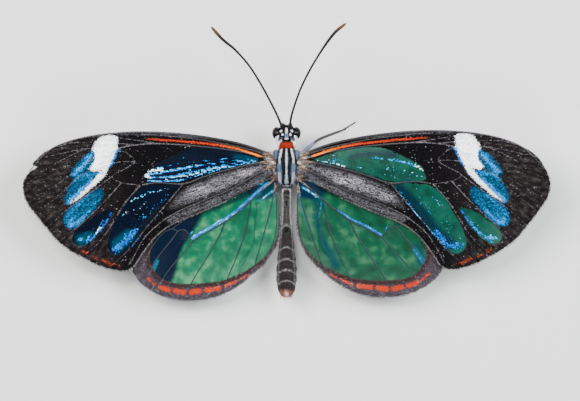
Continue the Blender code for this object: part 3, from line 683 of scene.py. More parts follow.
def buildSowTree():
    tree, bench, given, result = newTree("sowScales", (
        ("Shape", "NodeSocketObject"), ("Finish", "NodeSocketMaterial"), ("Density", "NodeSocketFloat"),
        ("Spacing", "NodeSocketFloat"), ("Length", "NodeSocketFloat"), ("Width", "NodeSocketFloat"),
        ("Lift", "NodeSocketFloat"), ("Sway", "NodeSocketFloat"), ("Seed", "NodeSocketInt")))
    sown = bench.add("GeometryNodeDistributePointsOnFaces", {"distribute_method": "POISSON"}, {
        "Mesh": given["Geometry"], "Distance Min": given["Spacing"], "Density Max": given["Density"],
        "Density Factor": named(bench, "cover"), "Seed": given["Seed"]})
    normal = Wire(bench, sown.socket.node.outputs["Normal"])
    upright = bench.add("FunctionNodeAlignRotationToVector", {"axis": "Z"}, {"Vector": normal})
    laid = bench.add("FunctionNodeAlignRotationToVector", {"axis": "Y", "pivot_axis": "Z"}, {
        "Rotation": upright, "Vector": named(bench, "lie", "FLOAT_VECTOR")})

    def chance(low, high, shift):
        values = {2: low, 3: high, "Seed": given["Seed"] + shift}
        return bench.add("FunctionNodeRandomValue", {"data_type": "FLOAT"}, values, 1)

    tip = bench.join(given["Lift"] * chance(0.5, 1.6, 1), given["Sway"] * chance(-0.6, 0.6, 2),
                     given["Sway"] * chance(-1.0, 1.0, 3))
    turn = bench.add("FunctionNodeEulerToRotation", {}, {0: tip})
    turned = bench.add("FunctionNodeRotateRotation", {"rotation_space": "LOCAL"}, {0: laid, 1: turn})
    grow = chance(0.75, 1.25, 4) * named(bench, "growth")
    size = bench.join(given["Width"] * grow, given["Length"] * grow, given["Width"] * grow)
    shape = bench.add("GeometryNodeObjectInfo", {"transform_space": "ORIGINAL"}, {"Object": given["Shape"]}, "Geometry")
    many = bench.add("GeometryNodeInstanceOnPoints", {}, {
        "Points": sown, "Instance": shape, "Rotation": turned, "Scale": size})
    toned = bench.add("GeometryNodeStoreNamedAttribute", {"data_type": "FLOAT", "domain": "INSTANCE"}, {
        "Geometry": many, "Name": "tone", "Value": chance(0.0, 1.0, 5)})
    real = bench.add("GeometryNodeRealizeInstances", {}, {"Geometry": toned})
    patch = bench.add("ShaderNodeVectorMath", {"operation": "MULTIPLY_ADD"}, {
        0: named(bench, "patch", "FLOAT_VECTOR"), 1: (0.003, 0.003, 0.0), 2: named(bench, "bedPlace", "FLOAT_VECTOR")})
    mapped = bench.add("GeometryNodeStoreNamedAttribute", {"data_type": "FLOAT2", "domain": "CORNER"}, {
        "Geometry": real, "Name": "OFBake", "Value": patch})
    done = bench.add("GeometryNodeSetMaterial", {}, {"Geometry": mapped, "Material": given["Finish"]})
    tree.links.new(done.socket, result.inputs[0])
    return tree


def buildSweepTree():
    tree, bench, given, result = newTree("sweepTubes", (
        ("Finish", "NodeSocketMaterial"), ("Sides", "NodeSocketInt")))
    profile = bench.add("GeometryNodeCurvePrimitiveCircle", {"mode": "RADIUS"}, {
        "Resolution": given["Sides"], "Radius": 1.0})
    swept = bench.add("GeometryNodeCurveToMesh", {}, {
        "Curve": given["Geometry"], "Profile Curve": profile, "Scale": bench.add("GeometryNodeInputRadius"),
        "Fill Caps": True})
    smooth = bench.add("GeometryNodeSetShadeSmooth", {}, {"Geometry": swept, "Shade Smooth": True})
    real = bench.add("GeometryNodeRealizeInstances", {}, {"Geometry": smooth})
    done = bench.add("GeometryNodeSetMaterial", {}, {"Geometry": real, "Material": given["Finish"]})
    tree.links.new(done.socket, result.inputs[0])
    return tree


# Runs a tree on an object and keeps only the plain mesh that comes out
def runTree(source, tree, values, name):
    modifier = source.modifiers.new("grow", "NODES")
    modifier.node_group = tree
    sockets = {item.name: item.identifier for item in tree.interface.items_tree
               if item.item_type == "SOCKET" and item.in_out == "INPUT"}
    for key, value in values.items():
        modifier[sockets[key]] = value
    bpy.context.view_layer.update()
    ready = source.evaluated_get(bpy.context.evaluated_depsgraph_get())
    mesh = bpy.data.meshes.new_from_object(ready)
    source.modifiers.remove(modifier)
    mesh.name = name
    return newObject(name, mesh)


def dropObject(item):
    bpy.data.objects.remove(item, do_unlink=True)


sowTree = buildSowTree()
sweepTree = buildSweepTree()


def sownShape(name, points, faces):
    mesh = meshFrom(name, points, faces)
    faceOutwards(mesh, True)
    patch = mesh.attributes.new("patch", "FLOAT_VECTOR", "POINT")
    for spot, vertex in zip(patch.data, mesh.vertices):
        spot.vector = (vertex.co.x, vertex.co.y - 0.5, 0.0)
    return newObject(name, mesh)


# A flat scale with a raised middle, root at the origin and tip at y = 1
def scaleShape(name, outline, ridge):
    ring = list(outline) + [(-x, y) for x, y in reversed(outline) if x > 0]
    count = len(ring)
    faces = [(k, (k + 1) % count, count) for k in range(count)] + [tuple(reversed(range(count)))]
    return sownShape(name, [(x, y, 0.0) for x, y in ring] + [(0.0, 0.55, ridge)], faces)


# A slender hair of three sides, bent over towards its tip
def hairShape(name, bend):
    points = []
    for y, size, lift in ((0.0, 0.5, -0.2), (0.5, 0.42, bend * 0.75)):
        for k in range(3):
            angle = 2 * math.pi * k / 3 + math.pi / 2
            points.append((size * math.cos(angle), y, lift + size * math.sin(angle)))
    points.append((0.0, 1.0, bend * 0.4))
    faces = [(0, 2, 1)] + [(k, (k + 1) % 3, 3 + (k + 1) % 3, 3 + k) for k in range(3)]
    faces += [(3 + k, 3 + (k + 1) % 3, 6) for k in range(3)]
    return sownShape(name, points, faces)


wingScale = scaleShape("wingScaleShape", ((0.0, 0.0), (0.46, 0.42), (0.36, 0.97)), 0.16)
fineHair = hairShape("hairShape", 1.1)


# Wing finishes

wingPaint = {
    "dark": (0.0022, 0.0019, 0.0024),
    "darkWarm": (0.011, 0.008, 0.008),
    "ray": (0.044, 0.037, 0.036),
    "fleck": (0.20, 0.20, 0.22),
    "silver": (0.24, 0.235, 0.27),
    "silverHighlight": (0.66, 0.62, 0.68),
    "silverDark": (0.022, 0.019, 0.021),
    "orange": (0.50, 0.032, 0.007),
    "orangeRoot": (0.66, 0.145, 0.002),
    "orangeDull": (0.20, 0.030, 0.012),
    "orangeFaded": (0.40, 0.13, 0.11),
    "white": (0.96, 0.98, 1.0),
    "blue": (0.0, 0.026, 0.056),
    "blueMid": (0.0, 0.085, 0.20),
    "blueGlint": (0.0, 0.19, 0.60),
    "border": (0.052, 0.045, 0.057),
    "borderWarm": (0.030, 0.017, 0.018),
    "veinDark": (0.004, 0.005, 0.009),
    "veinPale": (0.085, 0.078, 0.090),
    "veinClear": (0.014, 0.019, 0.030),
    "veinBlack": (0.010, 0.009, 0.010),
    "veinGlintBlue": (0.0, 0.12, 0.46),
    "veinGlintCyan": (0.05, 0.50, 0.80),
    "veinRoot": (0.24, 0.17, 0.12),
    "shine": (                      # colours of the painted glints, from violet blue to white, by the hue of a glint
        (0.0, (0.07, 0.02, 0.28)), (0.20, (0.0, 0.03, 0.34)), (0.42, (0.0, 0.10, 0.42)), (0.62, (0.0, 0.19, 0.52)),
        (0.80, (0.02, 0.40, 0.70)), (0.97, (0.90, 0.96, 1.0))),
    "cellRoot": (0.0, 0.007, 0.023),
    # glow: painted light around the glints of the hindwings' clear cells
    "glow": (0.0, 0.075, 0.11),
    "glintGrain": {                 # shares of long streaks, short streaks and dots in the painted glints
        ("forewing", "left"): (0.28, 0.32, 0.40), ("forewing", "right"): (0.15, 0.35, 0.50),
        ("hindwing", "left"): (0.30, 0.45, 0.25), ("hindwing", "right"): (0.30, 0.45, 0.25)},
    "cells": {                      # tint, second tint, alpha of one face, and where the second tint lies:
        # route, half-width at its start and end
        ("forewing", "left"): ((0.0, 0.0018, 0.007), (0.0, 0.024, 0.044), 0.95, (
            ((18.7, 6.8), (19.7, 7.5), 0.10, 0.50), ((2.8, -0.1), (4.8, -0.4), 0.4, 0.3),
            ((15.2, 7.0), (16.2, 8.0), 0.5, 0.6))),
        # On the right forewing the second tint is darker: a strip along the large cell, and a patch in the discal cell
        # that is painted shade
        ("forewing", "right"): ((0.0, 0.046, 0.029), (0.0, 0.011, 0.019), 0.80, (
            ((10.8, 2.6), (12.4, 4.3), (14.3, 6.8), (15.6, 8.0), 0.5, 0.6),
            ((6.4, -0.35), (8.4, -0.65), (10.4, -0.5), 0.20, 0.22))),
        ("hindwing", "left"): ((0.0, 0.098, 0.044), (0.0, 0.0035, 0.013), 0.68, (
            ((9.0, 4.5), (10.15, 6.05), (11.6, 8.05), (12.55, 10.5), 1.08, 1.50),
            ((12.8, 7.9), (13.1, 10.3), 1.0, 1.2), ((3.2, 2.8), (5.2, 3.8), (7.8, 4.8), 0.26, 0.16))),
        ("hindwing", "right"): ((0.0, 0.052, 0.024), (0.0, 0.030, 0.036), 0.72, (
            ((1.5, 1.9), (2.4, 3.2), (3.3, 4.4), 0.5, 0.3), ((2.7, 5.2), (3.5, 7.8), (4.6, 10.2), 0.22, 0.36),
            ((12.3, 8.4), (12.9, 9.8), 0.3, 0.5)))}}


# The shared pattern of a wing: its colour, and how much of it lets light through
def paintWing(bench, wing, label, scaly):
    place = bench.place()
    grain = bench.noise(place, 11000.0)
    soft = bench.noise(place, 900.0)
    cloud = bench.noise(place, 330.0, 3.0)
    jitter = (grain - 0.5) * 0.30

    def inside(name, blur=0.04, amount=1.0):
        return bench.step(bench.attribute(name) + jitter * amount, -blur, blur)

    tone = bench.attribute("tone")
    along = bench.attribute("alongVeins")
    across = bench.attribute("acrossVeins")
    out = bench.attribute("outShare")
    ribs = bench.attribute("veinDistance")
    edge = bench.attribute("clearDistance")
    streak = bench.noise(bench.join(along * 0.36, across * 5.6, 3.7), 1.0)
    fine = bench.noise(bench.join(along * 1.6, across * 9.0, 1.3), 1.0)
    glint = bench.attribute("glintShare")
    long, short, dots = wingPaint["glintGrain"][(wing["name"], label)]
    dot = bench.noise(place, 6500.0, 1.0)
    texture = streak * long + fine * short + dot * dots

    warm = soft * 0.5 + tone * 0.5
    if wing is foreWing:
        warm = warm * bench.step(out, 0.45, 0.85)
    colour = bench.mix(wingPaint["dark"], wingPaint["darkWarm"], warm)
    if wing is foreWing:
        fan = bench.noise(bench.join(bench.attribute("fanReach") * 1.1, bench.attribute("fanTurn") * 5.0), 1.0, 3.0)
        rays = bench.step(ribs, 0.06, 0.30) * bench.step(out, 0.58, 0.80)
        rays = rays * bench.step(fan * 0.6 + grain * 0.4, 0.44, 0.66)
        colour = bench.mix(colour, wingPaint["ray"], rays)
        hair = bench.noise(bench.join(along * 0.8, across * 15.0, 8.1), 1.0)
        gloss = bench.step(hair * 0.58 + grain * 0.22 + tone * 0.20, 0.38, 0.64)
        silverTone = bench.mix(wingPaint["silverDark"], wingPaint["silver"], gloss)
        # painted highlights on the silver strip, at its gleam spots
        gleam = bench.step(hair * 0.55 + grain * 0.45, 0.47, 0.60) * bench.attribute("silverGleam")
        silverTone = bench.mix(silverTone, wingPaint["silverHighlight"], gleam)
        silver = bench.attribute("silverShare")
        fleck = bench.step(tone, 0.965, 0.985) * 0.6
    else:
        colour = bench.step(edge, -0.16, -0.45) * (0.55 + 0.45 * tone)
        colour = bench.mix(wingPaint["borderWarm"], wingPaint["border"], colour)
        silverTone = wingPaint["silver"]
        silver = bench.attribute("silverShare") * bench.step(tone, 0.6, 0.95)
        fleck = bench.step(tone, 0.93, 0.98) * 0.5
    colour = bench.mix(colour, silverTone, silver.clamped())
    colour = bench.mix(colour, wingPaint["fleck"], fleck * bench.step(soft, 0.35, 0.6))
    line = bench.step(ribs, 0.07, 0.03) * bench.step(bench.attribute("silverShare"), 0.6, 0.2)
    line = line * (bench.step(out, 0.30, 0.55) * 0.8 + 0.1)
    colour = bench.mix(colour, wingPaint["veinPale"], line * (0.35 + 0.65 * grain))
    if wing is foreWing:
        orange = bench.mix(wingPaint["orangeRoot"], wingPaint["orange"], bench.step(out, 0.08, 0.30))
        orange = bench.mix(orange, wingPaint["orangeDull"], bench.step(out, 0.45, 0.54))
        broken = bench.step(soft * 0.5 + grain * 0.3 + tone * 0.2 + bench.step(out, 0.58, 0.40) * 0.4, 0.44, 0.56)
        orangeMask = inside("orangeDistance", 0.04, 0.5) * broken
    else:
        faded = bench.step(tone, 0.45, 0.9) * bench.step(out, 0.36, 0.22)
        orange = bench.mix(wingPaint["orange"], wingPaint["orangeFaded"], faded)
        orangeMask = inside("orangeDistance", 0.05, 0.8) * bench.step(ribs, 0.03, 0.11) * bench.step(grain, 0.26, 0.38)
    colour = bench.mix(colour, orange, orangeMask)
    if wing is foreWing:
        # Blue windows: the scales' own blue varies at random, and painted glints of brighter blue and white lie over it
        # along the glint routes
        gleam = texture * 0.4 + dot * 0.6 + glint * 0.30
        blue = bench.mix(wingPaint["blue"], wingPaint["blueMid"], bench.step(gleam, 0.47, 0.68))
        blue = bench.mix(blue, wingPaint["blueGlint"], bench.step(gleam, 0.70, 0.78))
        blue = bench.mix(blue, wingPaint["white"], bench.step(gleam, 0.86, 0.93) * 0.7)
        colour = bench.mix(colour, blue, inside("blueDistance", 0.06, 1.2))
        colour = bench.mix(colour, wingPaint["white"], inside("whiteDistance", 0.05, 1.3))
    # Painted glints: reflected light painted into the colour as streaks and dots, where the glint fields are strong
    sparkle = bench.step(texture + glint * 0.34 - 0.72, 0.0, 0.05) * bench.step(glint, 0.04, 0.16)
    hue = bench.attribute("glintHue") + (fine - 0.5) * 1.1 + (dot - 0.5) * 0.9
    shine = bench.add("ShaderNodeValToRGB", {"stops": wingPaint["shine"]}, {"Fac": hue})
    if scaly:
        near = bench.step(edge, -0.3, -0.1)
        if wing is foreWing:        # painted glints also along the inner side of the white band
            white = bench.attribute("whiteDistance")
            near = (near + bench.step(white, -0.75, -0.45) * bench.step(white, 0.05, -0.05)).clamped()
        colour = bench.mix(colour, shine, sparkle * near)
        return colour, None, sparkle, None, grain
    tint, other, faceAlpha, _ = wingPaint["cells"][(wing["name"], label)]
    mottle = bench.noise(place, 1100.0, 3.0)
    cell = bench.mix([part * 0.55 for part in tint], tint, bench.step(mottle * 0.5 + cloud * 0.5, 0.36, 0.52))
    pale = bench.step(mottle * 0.55 + cloud * 0.45, 0.49, 0.66) * (0.95 if wing is hindWing else 0.25)
    cell = bench.mix(cell, [part * 2.0 + tint[1] * more for part, more in zip(tint, (0.50, 0.12, 0.06))], pale)
    deep = bench.step(bench.attribute("deepShare") + (cloud - 0.5) * 1.1, 0.20, 0.85)
    cell = bench.mix(cell, other, deep)
    if wing is hindWing:
        near = bench.step(bench.attribute("rootShade") + (cloud - 0.5) * 0.7, 0.15, 0.85) * 0.92
        cell = bench.mix(cell, wingPaint["cellRoot"], near)
        # a painted glow of light around the glints
        cell = bench.mix(cell, wingPaint["glow"], bench.step(glint, 0.18, 0.42) * 0.8)
        faceAlpha = near.most(deep * 0.6) * (0.93 - faceAlpha) + faceAlpha
    clear = inside("clearDistance", 0.06, 0.5)
    colour = bench.mix(bench.mix(colour, cell, clear), shine, sparkle)
    alpha = 1 - clear * (1 - sparkle) * (1.0 - faceAlpha)
    return colour, alpha, sparkle, clear, grain


def wingMaterial(wing, label, part):
    made, bench = newMaterial("%s_%s_%s" % (wing["name"], label, part))
    colour, alpha, sparkle, clear, grain = paintWing(bench, wing, label, part != "membrane")
    values = {"Base Color": colour, "Specular IOR Level": 0.06}
    if part == "membrane":
        values.update({
            "Alpha": alpha, "Roughness": 0.60 - clear * 0.30, "Metallic": sparkle * 0.25,
            "Coat Weight": clear * 0.07, "Coat Roughness": 0.24})
    else:
        values["Roughness"] = 0.58 - sparkle * 0.15
    finishShader(bench, values, (grain, 0.25, 0.00003))
    return made


def veinMaterial(wing, label):
    made, bench = newMaterial("%s_%s_veins" % (wing["name"], label))
    grain = bench.noise(bench.place(), 7000.0)
    out = bench.attribute("outShare")
    dark = bench.mix(wingPaint["veinDark"], wingPaint["veinClear"], grain)
    far = bench.step(out, 0.30, 0.52) * 0.75 + 0.15
    pale = bench.mix(wingPaint["veinBlack"], wingPaint["veinPale"], bench.step(grain, 0.38, 0.62) * far)
    colour = bench.mix(pale, dark, bench.step(bench.attribute("clearDistance"), -0.15, 0.0))
    # Painted glints on the veins, in blue and cyan, where the glint fields are strong
    gleam = bench.step(bench.attribute("glintShare") + (grain - 0.5) * 1.2, 0.60, 0.95)
    blue = bench.mix(wingPaint["veinGlintBlue"], wingPaint["veinGlintCyan"], bench.step(grain, 0.45, 0.7))
    colour = bench.mix(colour, blue, gleam)
    flame = bench.mix(wingPaint["orangeRoot"], wingPaint["orange"], bench.step(out, 0.08, 0.34))
    colour = bench.mix(colour, flame, bench.step(bench.attribute("orangeDistance"), -0.02, 0.04))
    colour = bench.mix(colour, wingPaint["white"], bench.step(bench.attribute("whiteDistance"), -0.02, 0.06))
    base = bench.step(bench.attribute("rootDistance"), 2.0, 0.8)
    colour = bench.mix(colour, wingPaint["veinRoot"], base * bench.step(grain, 0.40, 0.62))
    finishShader(bench, {"Base Color": colour, "Roughness": 0.42, "Specular IOR Level": 0.22}, (grain, 0.5, 0.00004))
    return made


def curveObject(name, tubes):
    data = bpy.data.curves.new(name, "CURVE")
    data.dimensions = "3D"
    for points, radii in tubes:
        spline = data.splines.new("POLY")
        spline.points.add(len(points) - 1)
        for slot, point, radius in zip(spline.points, points, radii):
            slot.co = (*(value * mm for value in point), 1.0)
            slot.radius = radius * mm
    return newObject(name, data)


def sweepPiece(name, tubes, material, sides):
    source = curveObject(name + "Path", tubes)
    made = runTree(source, sweepTree, {"Finish": material, "Sides": sides}, name)
    dropObject(source)
    return made


coatSetup = {
    # shape, scales on a square millimetre, spacing, length, width, lift and sway in radians
    "scaleTop": (wingScale, 255.0, 0.044, 0.20, 0.115, 0.14, 0.20),
    "scaleUnder": (wingScale, 150.0, 0.058, 0.24, 0.14, 0.14, 0.22),
    "fringe": (wingScale, 360.0, 0.033, 0.19, 0.062, 0.10, 0.22),
    "bodyScale": (wingScale, 300.0, 0.044, 0.17, 0.08, 0.22, 0.30),
    "bodyHair": (fineHair, 26.0, 0.10, 0.42, 0.022, 0.45, 0.40),
    "tuftScale": (wingScale, 420.0, 0.030, 0.16, 0.055, 0.40, 0.40),
    "palpHair": (fineHair, 260.0, 0.03, 0.20, 0.020, 0.55, 0.40),
    "legHair": (fineHair, 130.0, 0.04, 0.12, 0.014, 0.50, 0.40),
    "rootHair": (fineHair, 170.0, 0.03, 0.52, 0.020, 0.20, 0.45)}

# Random seed of the first coat of each kind; the fringe's is counted from that of its wing
coatSeeds = {"forewing": 11, "hindwing": 21, "fringe": 4, "body": 31, "palp": 51, "leg": 61, "root": 81, "tuft": 91}


def growCoat(name, bed, kind, material, seed, growth=1.0):
    shape, density, spacing, length, width, lift, sway = coatSetup[kind]
    source = newObject(name + "Bed", bed)
    if "growth" not in bed.attributes:
        putFields(bed, growth=growth)
    made = runTree(source, sowTree, {
        "Shape": shape, "Finish": material, "Density": density / mm ** 2, "Spacing": spacing * mm,
        "Length": length * mm, "Width": width * mm, "Lift": lift, "Sway": sway, "Seed": seed}, name)
    dropObject(source)
    made.data.shade_smooth()
    return made


# Places on the map of a coat, from shares between 0 and 1
def mapPlaces(u, v):
    return np.column_stack([0.03 + 0.94 * u, 0.03 + 0.94 * v, 0 * u])


def makeWing(wing, label, side, seed):
    name = wing["name"] + "_" + label
    places, faces, rim = wingNet(wing, label)
    plan, height = wingSurface(places, wing, label)
    fields = wingFields(places, wing, label)
    half = wingForm["thickness"] / 2
    top, under = (np.column_stack([plan[:, 0] * side, plan[:, 1], height + shift]) * mm for shift in (half, -half))
    count = len(places)
    order = int(side)               # -1 turns the faces of the mirrored wing
    upFaces = [face[::order] for face in faces]
    downFaces = [[k + count for k in face[::-1]] for face in upFaces]
    wall = [[k, k + count, (k + 1) % rim + count, (k + 1) % rim][::order] for k in range(rim)]
    mesh = meshFrom(name + "_membrane", np.vstack([top, under]), upFaces + downFaces + wall)
    putFields(mesh, tone=0.45, **{key: np.concatenate([value, value]) for key, value in fields.items()})
    faceOutwards(mesh)
    mesh.shade_smooth()
    membrane = newObject(name + "_membrane", mesh)
    setMaterial(membrane, wingMaterial(wing, label, "membrane"))
    placePiece(membrane, wing["name"], name)

    tubes = []
    for route, start, end in wing["veins"].values():
        line = smoothCurve(route, wingForm["veinStep"])
        veinPlan, veinHeight = wingSurface(line, wing, label)
        radii = start + (end - start) * np.linspace(0, 1, len(line))
        radii[-1] *= 0.5
        tubes.append((np.column_stack([veinPlan[:, 0] * side, veinPlan[:, 1], veinHeight]), radii))
    veins = sweepPiece(name + "_veins", tubes, veinMaterial(wing, label), wingForm["veinSides"])
    spots = turnedPlan(meshPoints(veins.data)[:, :2] * (side, 1.0), wing, wing["sweep"][label])
    spotFields = wingFields(spots, wing, label)
    putFields(veins.data, **{key: spotFields[key] for key in (
        "clearDistance", "orangeDistance", "whiteDistance", "outShare", "rootDistance", "glintShare")})
    placePiece(veins, wing["name"])

    scaled = 1 - ramp(fields["clearDistance"], -0.10, 0.02)
    scaled *= 1 - 0.85 * ramp(fields["blueDistance"], -0.05, 0.15)
    scaled *= 1 - 0.75 * ramp(fields["veinDistance"], 0.10, 0.03) * ramp(places[:, 0], 8.0, 12.0)
    scaled *= 1 - 0.65 * ramp(fields["whiteDistance"], 0.05, 0.25)
    away = plan - np.array(wing["scalesFrom"])
    away /= np.linalg.norm(away, axis=1)[:, None]
    lie = np.column_stack([away[:, 0] * side, away[:, 1], np.zeros(count)])
    coat = wingMaterial(wing, label, "scales")
    for kind, points, turned in (("scaleTop", top, upFaces), ("scaleUnder", under, [f[::-1] for f in upFaces])):
        bed = meshFrom(name + kind, points, turned)
        putFields(bed, **fields, cover=scaled, growth=0.55 + 0.45 * ramp(fields["rimDistance"], 0.05, 0.35), lie=lie,
                  bedPlace=mapPlaces(*((places - places.min(0)) / np.ptp(places, axis=0).max()).T))
        piece = growCoat("%s_%s" % (name, "scales" if kind == "scaleTop" else "scales_under"), bed, kind, coat, seed)
        placePiece(piece, wing["name"])
        print(piece.name, len(piece.data.polygons), "triangles")


fringeForm = {
    "step": 0.12,
    "ribbon": 0.10,
    "lift": 0.005,
    "scallops": 60,                 # waves along the whole margin
    "innerFrom": (44.0, 39.0)}      # the inner margin is darker from this wave on


# A ribbon along the free margin carries the fringe of slender scales
def makeFringe(wing, label, side, seed):
    name = wing["name"] + "_" + label
    border = smoothCurve(wingMargin(wing, label), fringeForm["step"])
    run = runAlong(border)
    run /= run[-1]
    way = np.gradient(border, axis=0)
    outward = np.column_stack([way[:, 1], -way[:, 0]])
    outward /= np.linalg.norm(outward, axis=1)[:, None]
    inner = border - outward * fringeForm["ribbon"]
    count = len(border)
    places = np.vstack([border, inner])
    plan, height = wingSurface(places, wing, label)
    lieEnd = turnedPlan(places + np.vstack([outward, outward]), wing, -wing["sweep"][label]) - plan
    faces = [(k, k + 1, k + 1 + count, k + count) for k in range(count - 1)]
    points = np.column_stack([plan[:, 0] * side, plan[:, 1], height + fringeForm["lift"]]) * mm
    bed = meshFrom(name + "Ribbon", points, faces)
    if meshNormals(bed)[:, 2].mean() < 0:
        bed.flip_normals()
    share = np.concatenate([run, run])
    low, high = wing["fringeFrom"]
    putFields(bed, cover=ramp(share, low, low + 0.05) * ramp(share, high, high - 0.03),
              growth=0.45 + 0.55 * ramp(share, low, low + 0.15), fringeRun=share * fringeForm["scallops"],
              lie=np.column_stack([lieEnd[:, 0] * side, lieEnd[:, 1], np.zeros(2 * count)]),
              bedPlace=mapPlaces(share, np.repeat((0.29, 0.71), count)))
    made, bench = newMaterial(name + "_fringe")
    run = bench.attribute("fringeRun")
    scallops = bench.noise(bench.join(run), 1.0, 1.0)
    pale = bench.step(bench.attribute("tone") * 0.6 + scallops * 0.4, 0.35, 0.62)
    pale = pale * (bench.step(run, *fringeForm["innerFrom"]) * 0.75 + 0.25)
    colour = bench.mix(wing["fringeDark"], wing["fringePale"], pale)
    finishShader(bench, {"Base Color": colour, "Roughness": 0.6, "Specular IOR Level": 0.15})
    piece = growCoat(name + "_fringe", bed, "fringe", made, seed)
    placePiece(piece, wing["name"])


for number, (label, side) in enumerate(sides):
    for wing in (foreWing, hindWing):
        seed = coatSeeds[wing["name"]] + number
        makeWing(wing, label, side, seed)
        makeFringe(wing, label, side, seed + coatSeeds["fringe"])
print("wings made")


# Body: one lofted skin, with scales and hairs over it

bodyForm = {
    "rows": (                       # back, half-width, top, underside
        (-3.26, 0.20, 4.62, 4.05), (-3.20, 0.38, 4.82, 3.93), (-3.05, 0.60, 5.02, 3.75), (-2.85, 0.74, 5.15, 3.64),
        (-2.55, 0.80, 5.18, 3.62), (-2.30, 0.76, 5.06, 3.70), (-2.10, 0.56, 4.84, 3.84), (-1.96, 0.42, 4.70, 3.90),
        (-1.84, 0.52, 4.80, 3.74), (-1.68, 0.70, 5.00, 3.58), (-1.45, 0.76, 5.10, 3.50), (-1.26, 0.70, 5.02, 3.52),
        (-1.12, 0.72, 5.04, 3.42), (-1.00, 0.86, 5.20, 3.20), (-0.80, 1.06, 5.48, 2.90), (-0.45, 1.22, 5.75, 2.55),
        (0.10, 1.20, 5.88, 2.40), (0.80, 1.06, 5.82, 2.42), (1.40, 0.90, 5.62, 2.58), (1.85, 0.74, 5.34, 2.78),
        (2.10, 0.60, 5.02, 2.98), (2.22, 0.52, 4.82, 3.12), (2.36, 0.50, 4.74, 3.22), (2.52, 0.46, 4.66, 3.30),
        (2.70, 0.46, 4.62, 3.32), (3.00, 0.46, 4.55, 3.30), (3.70, 0.40, 4.36, 3.28), (4.80, 0.40, 4.14, 3.10),
        (5.80, 0.46, 4.04, 2.90), (7.00, 0.57, 3.98, 2.66), (8.30, 0.70, 3.94, 2.42), (9.40, 0.83, 3.88, 2.20),
        (10.60, 0.94, 3.78, 2.02), (11.60, 0.91, 3.60, 1.98), (12.30, 0.79, 3.42, 2.06), (12.80, 0.56, 3.18, 2.20),
        (13.05, 0.30, 2.98, 2.40), (13.12, 0.12, 2.84, 2.56)),
    "parts": (                      # start and end behind the middle of the thorax, size of the scales and hairs
        ("head", -3.24, -1.95, 0.62), ("collar", -1.95, -1.13, 0.85), ("thorax", -1.13, 2.55, 0.85),
        ("abdomen", 2.55, 13.05, 0.85)),
    "core": (0.0, 0.0, 4.2),        # on a line inside the body, which the normals point away from
    "ring": 72,
    "step": 0.05,
    "segments": (3.65, 6.25, 8.35, 9.50, 10.55, 11.60),
    "segmentSwell": 0.055,
    "segmentStart": 0.012,
    "segmentEdge": 0.07,
    "segmentsFrom": 3.0,
    "segmentsTo": 12.55,
    "squareness": 0.92,
    "foldsAt": (1.22, 1.28),        # shallow folds across the middle shield
    "fold": (0.03, 0.05)}           # their depth and width

bodyPaint = {
    "black": (0.0050, 0.0050, 0.0065),
    "headBlack": (0.0045, 0.0042, 0.0050),
    "white": (0.90, 0.93, 0.98),
    "paleBlue": (0.42, 0.52, 0.66),
    "slate": (0.12, 0.19, 0.29),
    "lavender": (0.50, 0.50, 0.62),
    "orange": (0.34, 0.030, 0.009),
    "orangeDark": (0.10, 0.012, 0.006),
    "abdomen": (0.022, 0.020, 0.020),
    "abdomenFront": (0.060, 0.054, 0.052),
    "abdomenRear": (0.022, 0.018, 0.018),
    "arc": (0.25, 0.24, 0.25),
    "line": (0.17, 0.17, 0.20),
    "tip": (0.20, 0.085, 0.055),
    "tipShine": (0.85, 0.62, 0.55),
    "shoulder": (0.11, 0.155, 0.24),
    "belly": (0.36, 0.32, 0.27),
    "sidePale": (0.50, 0.50, 0.54)}

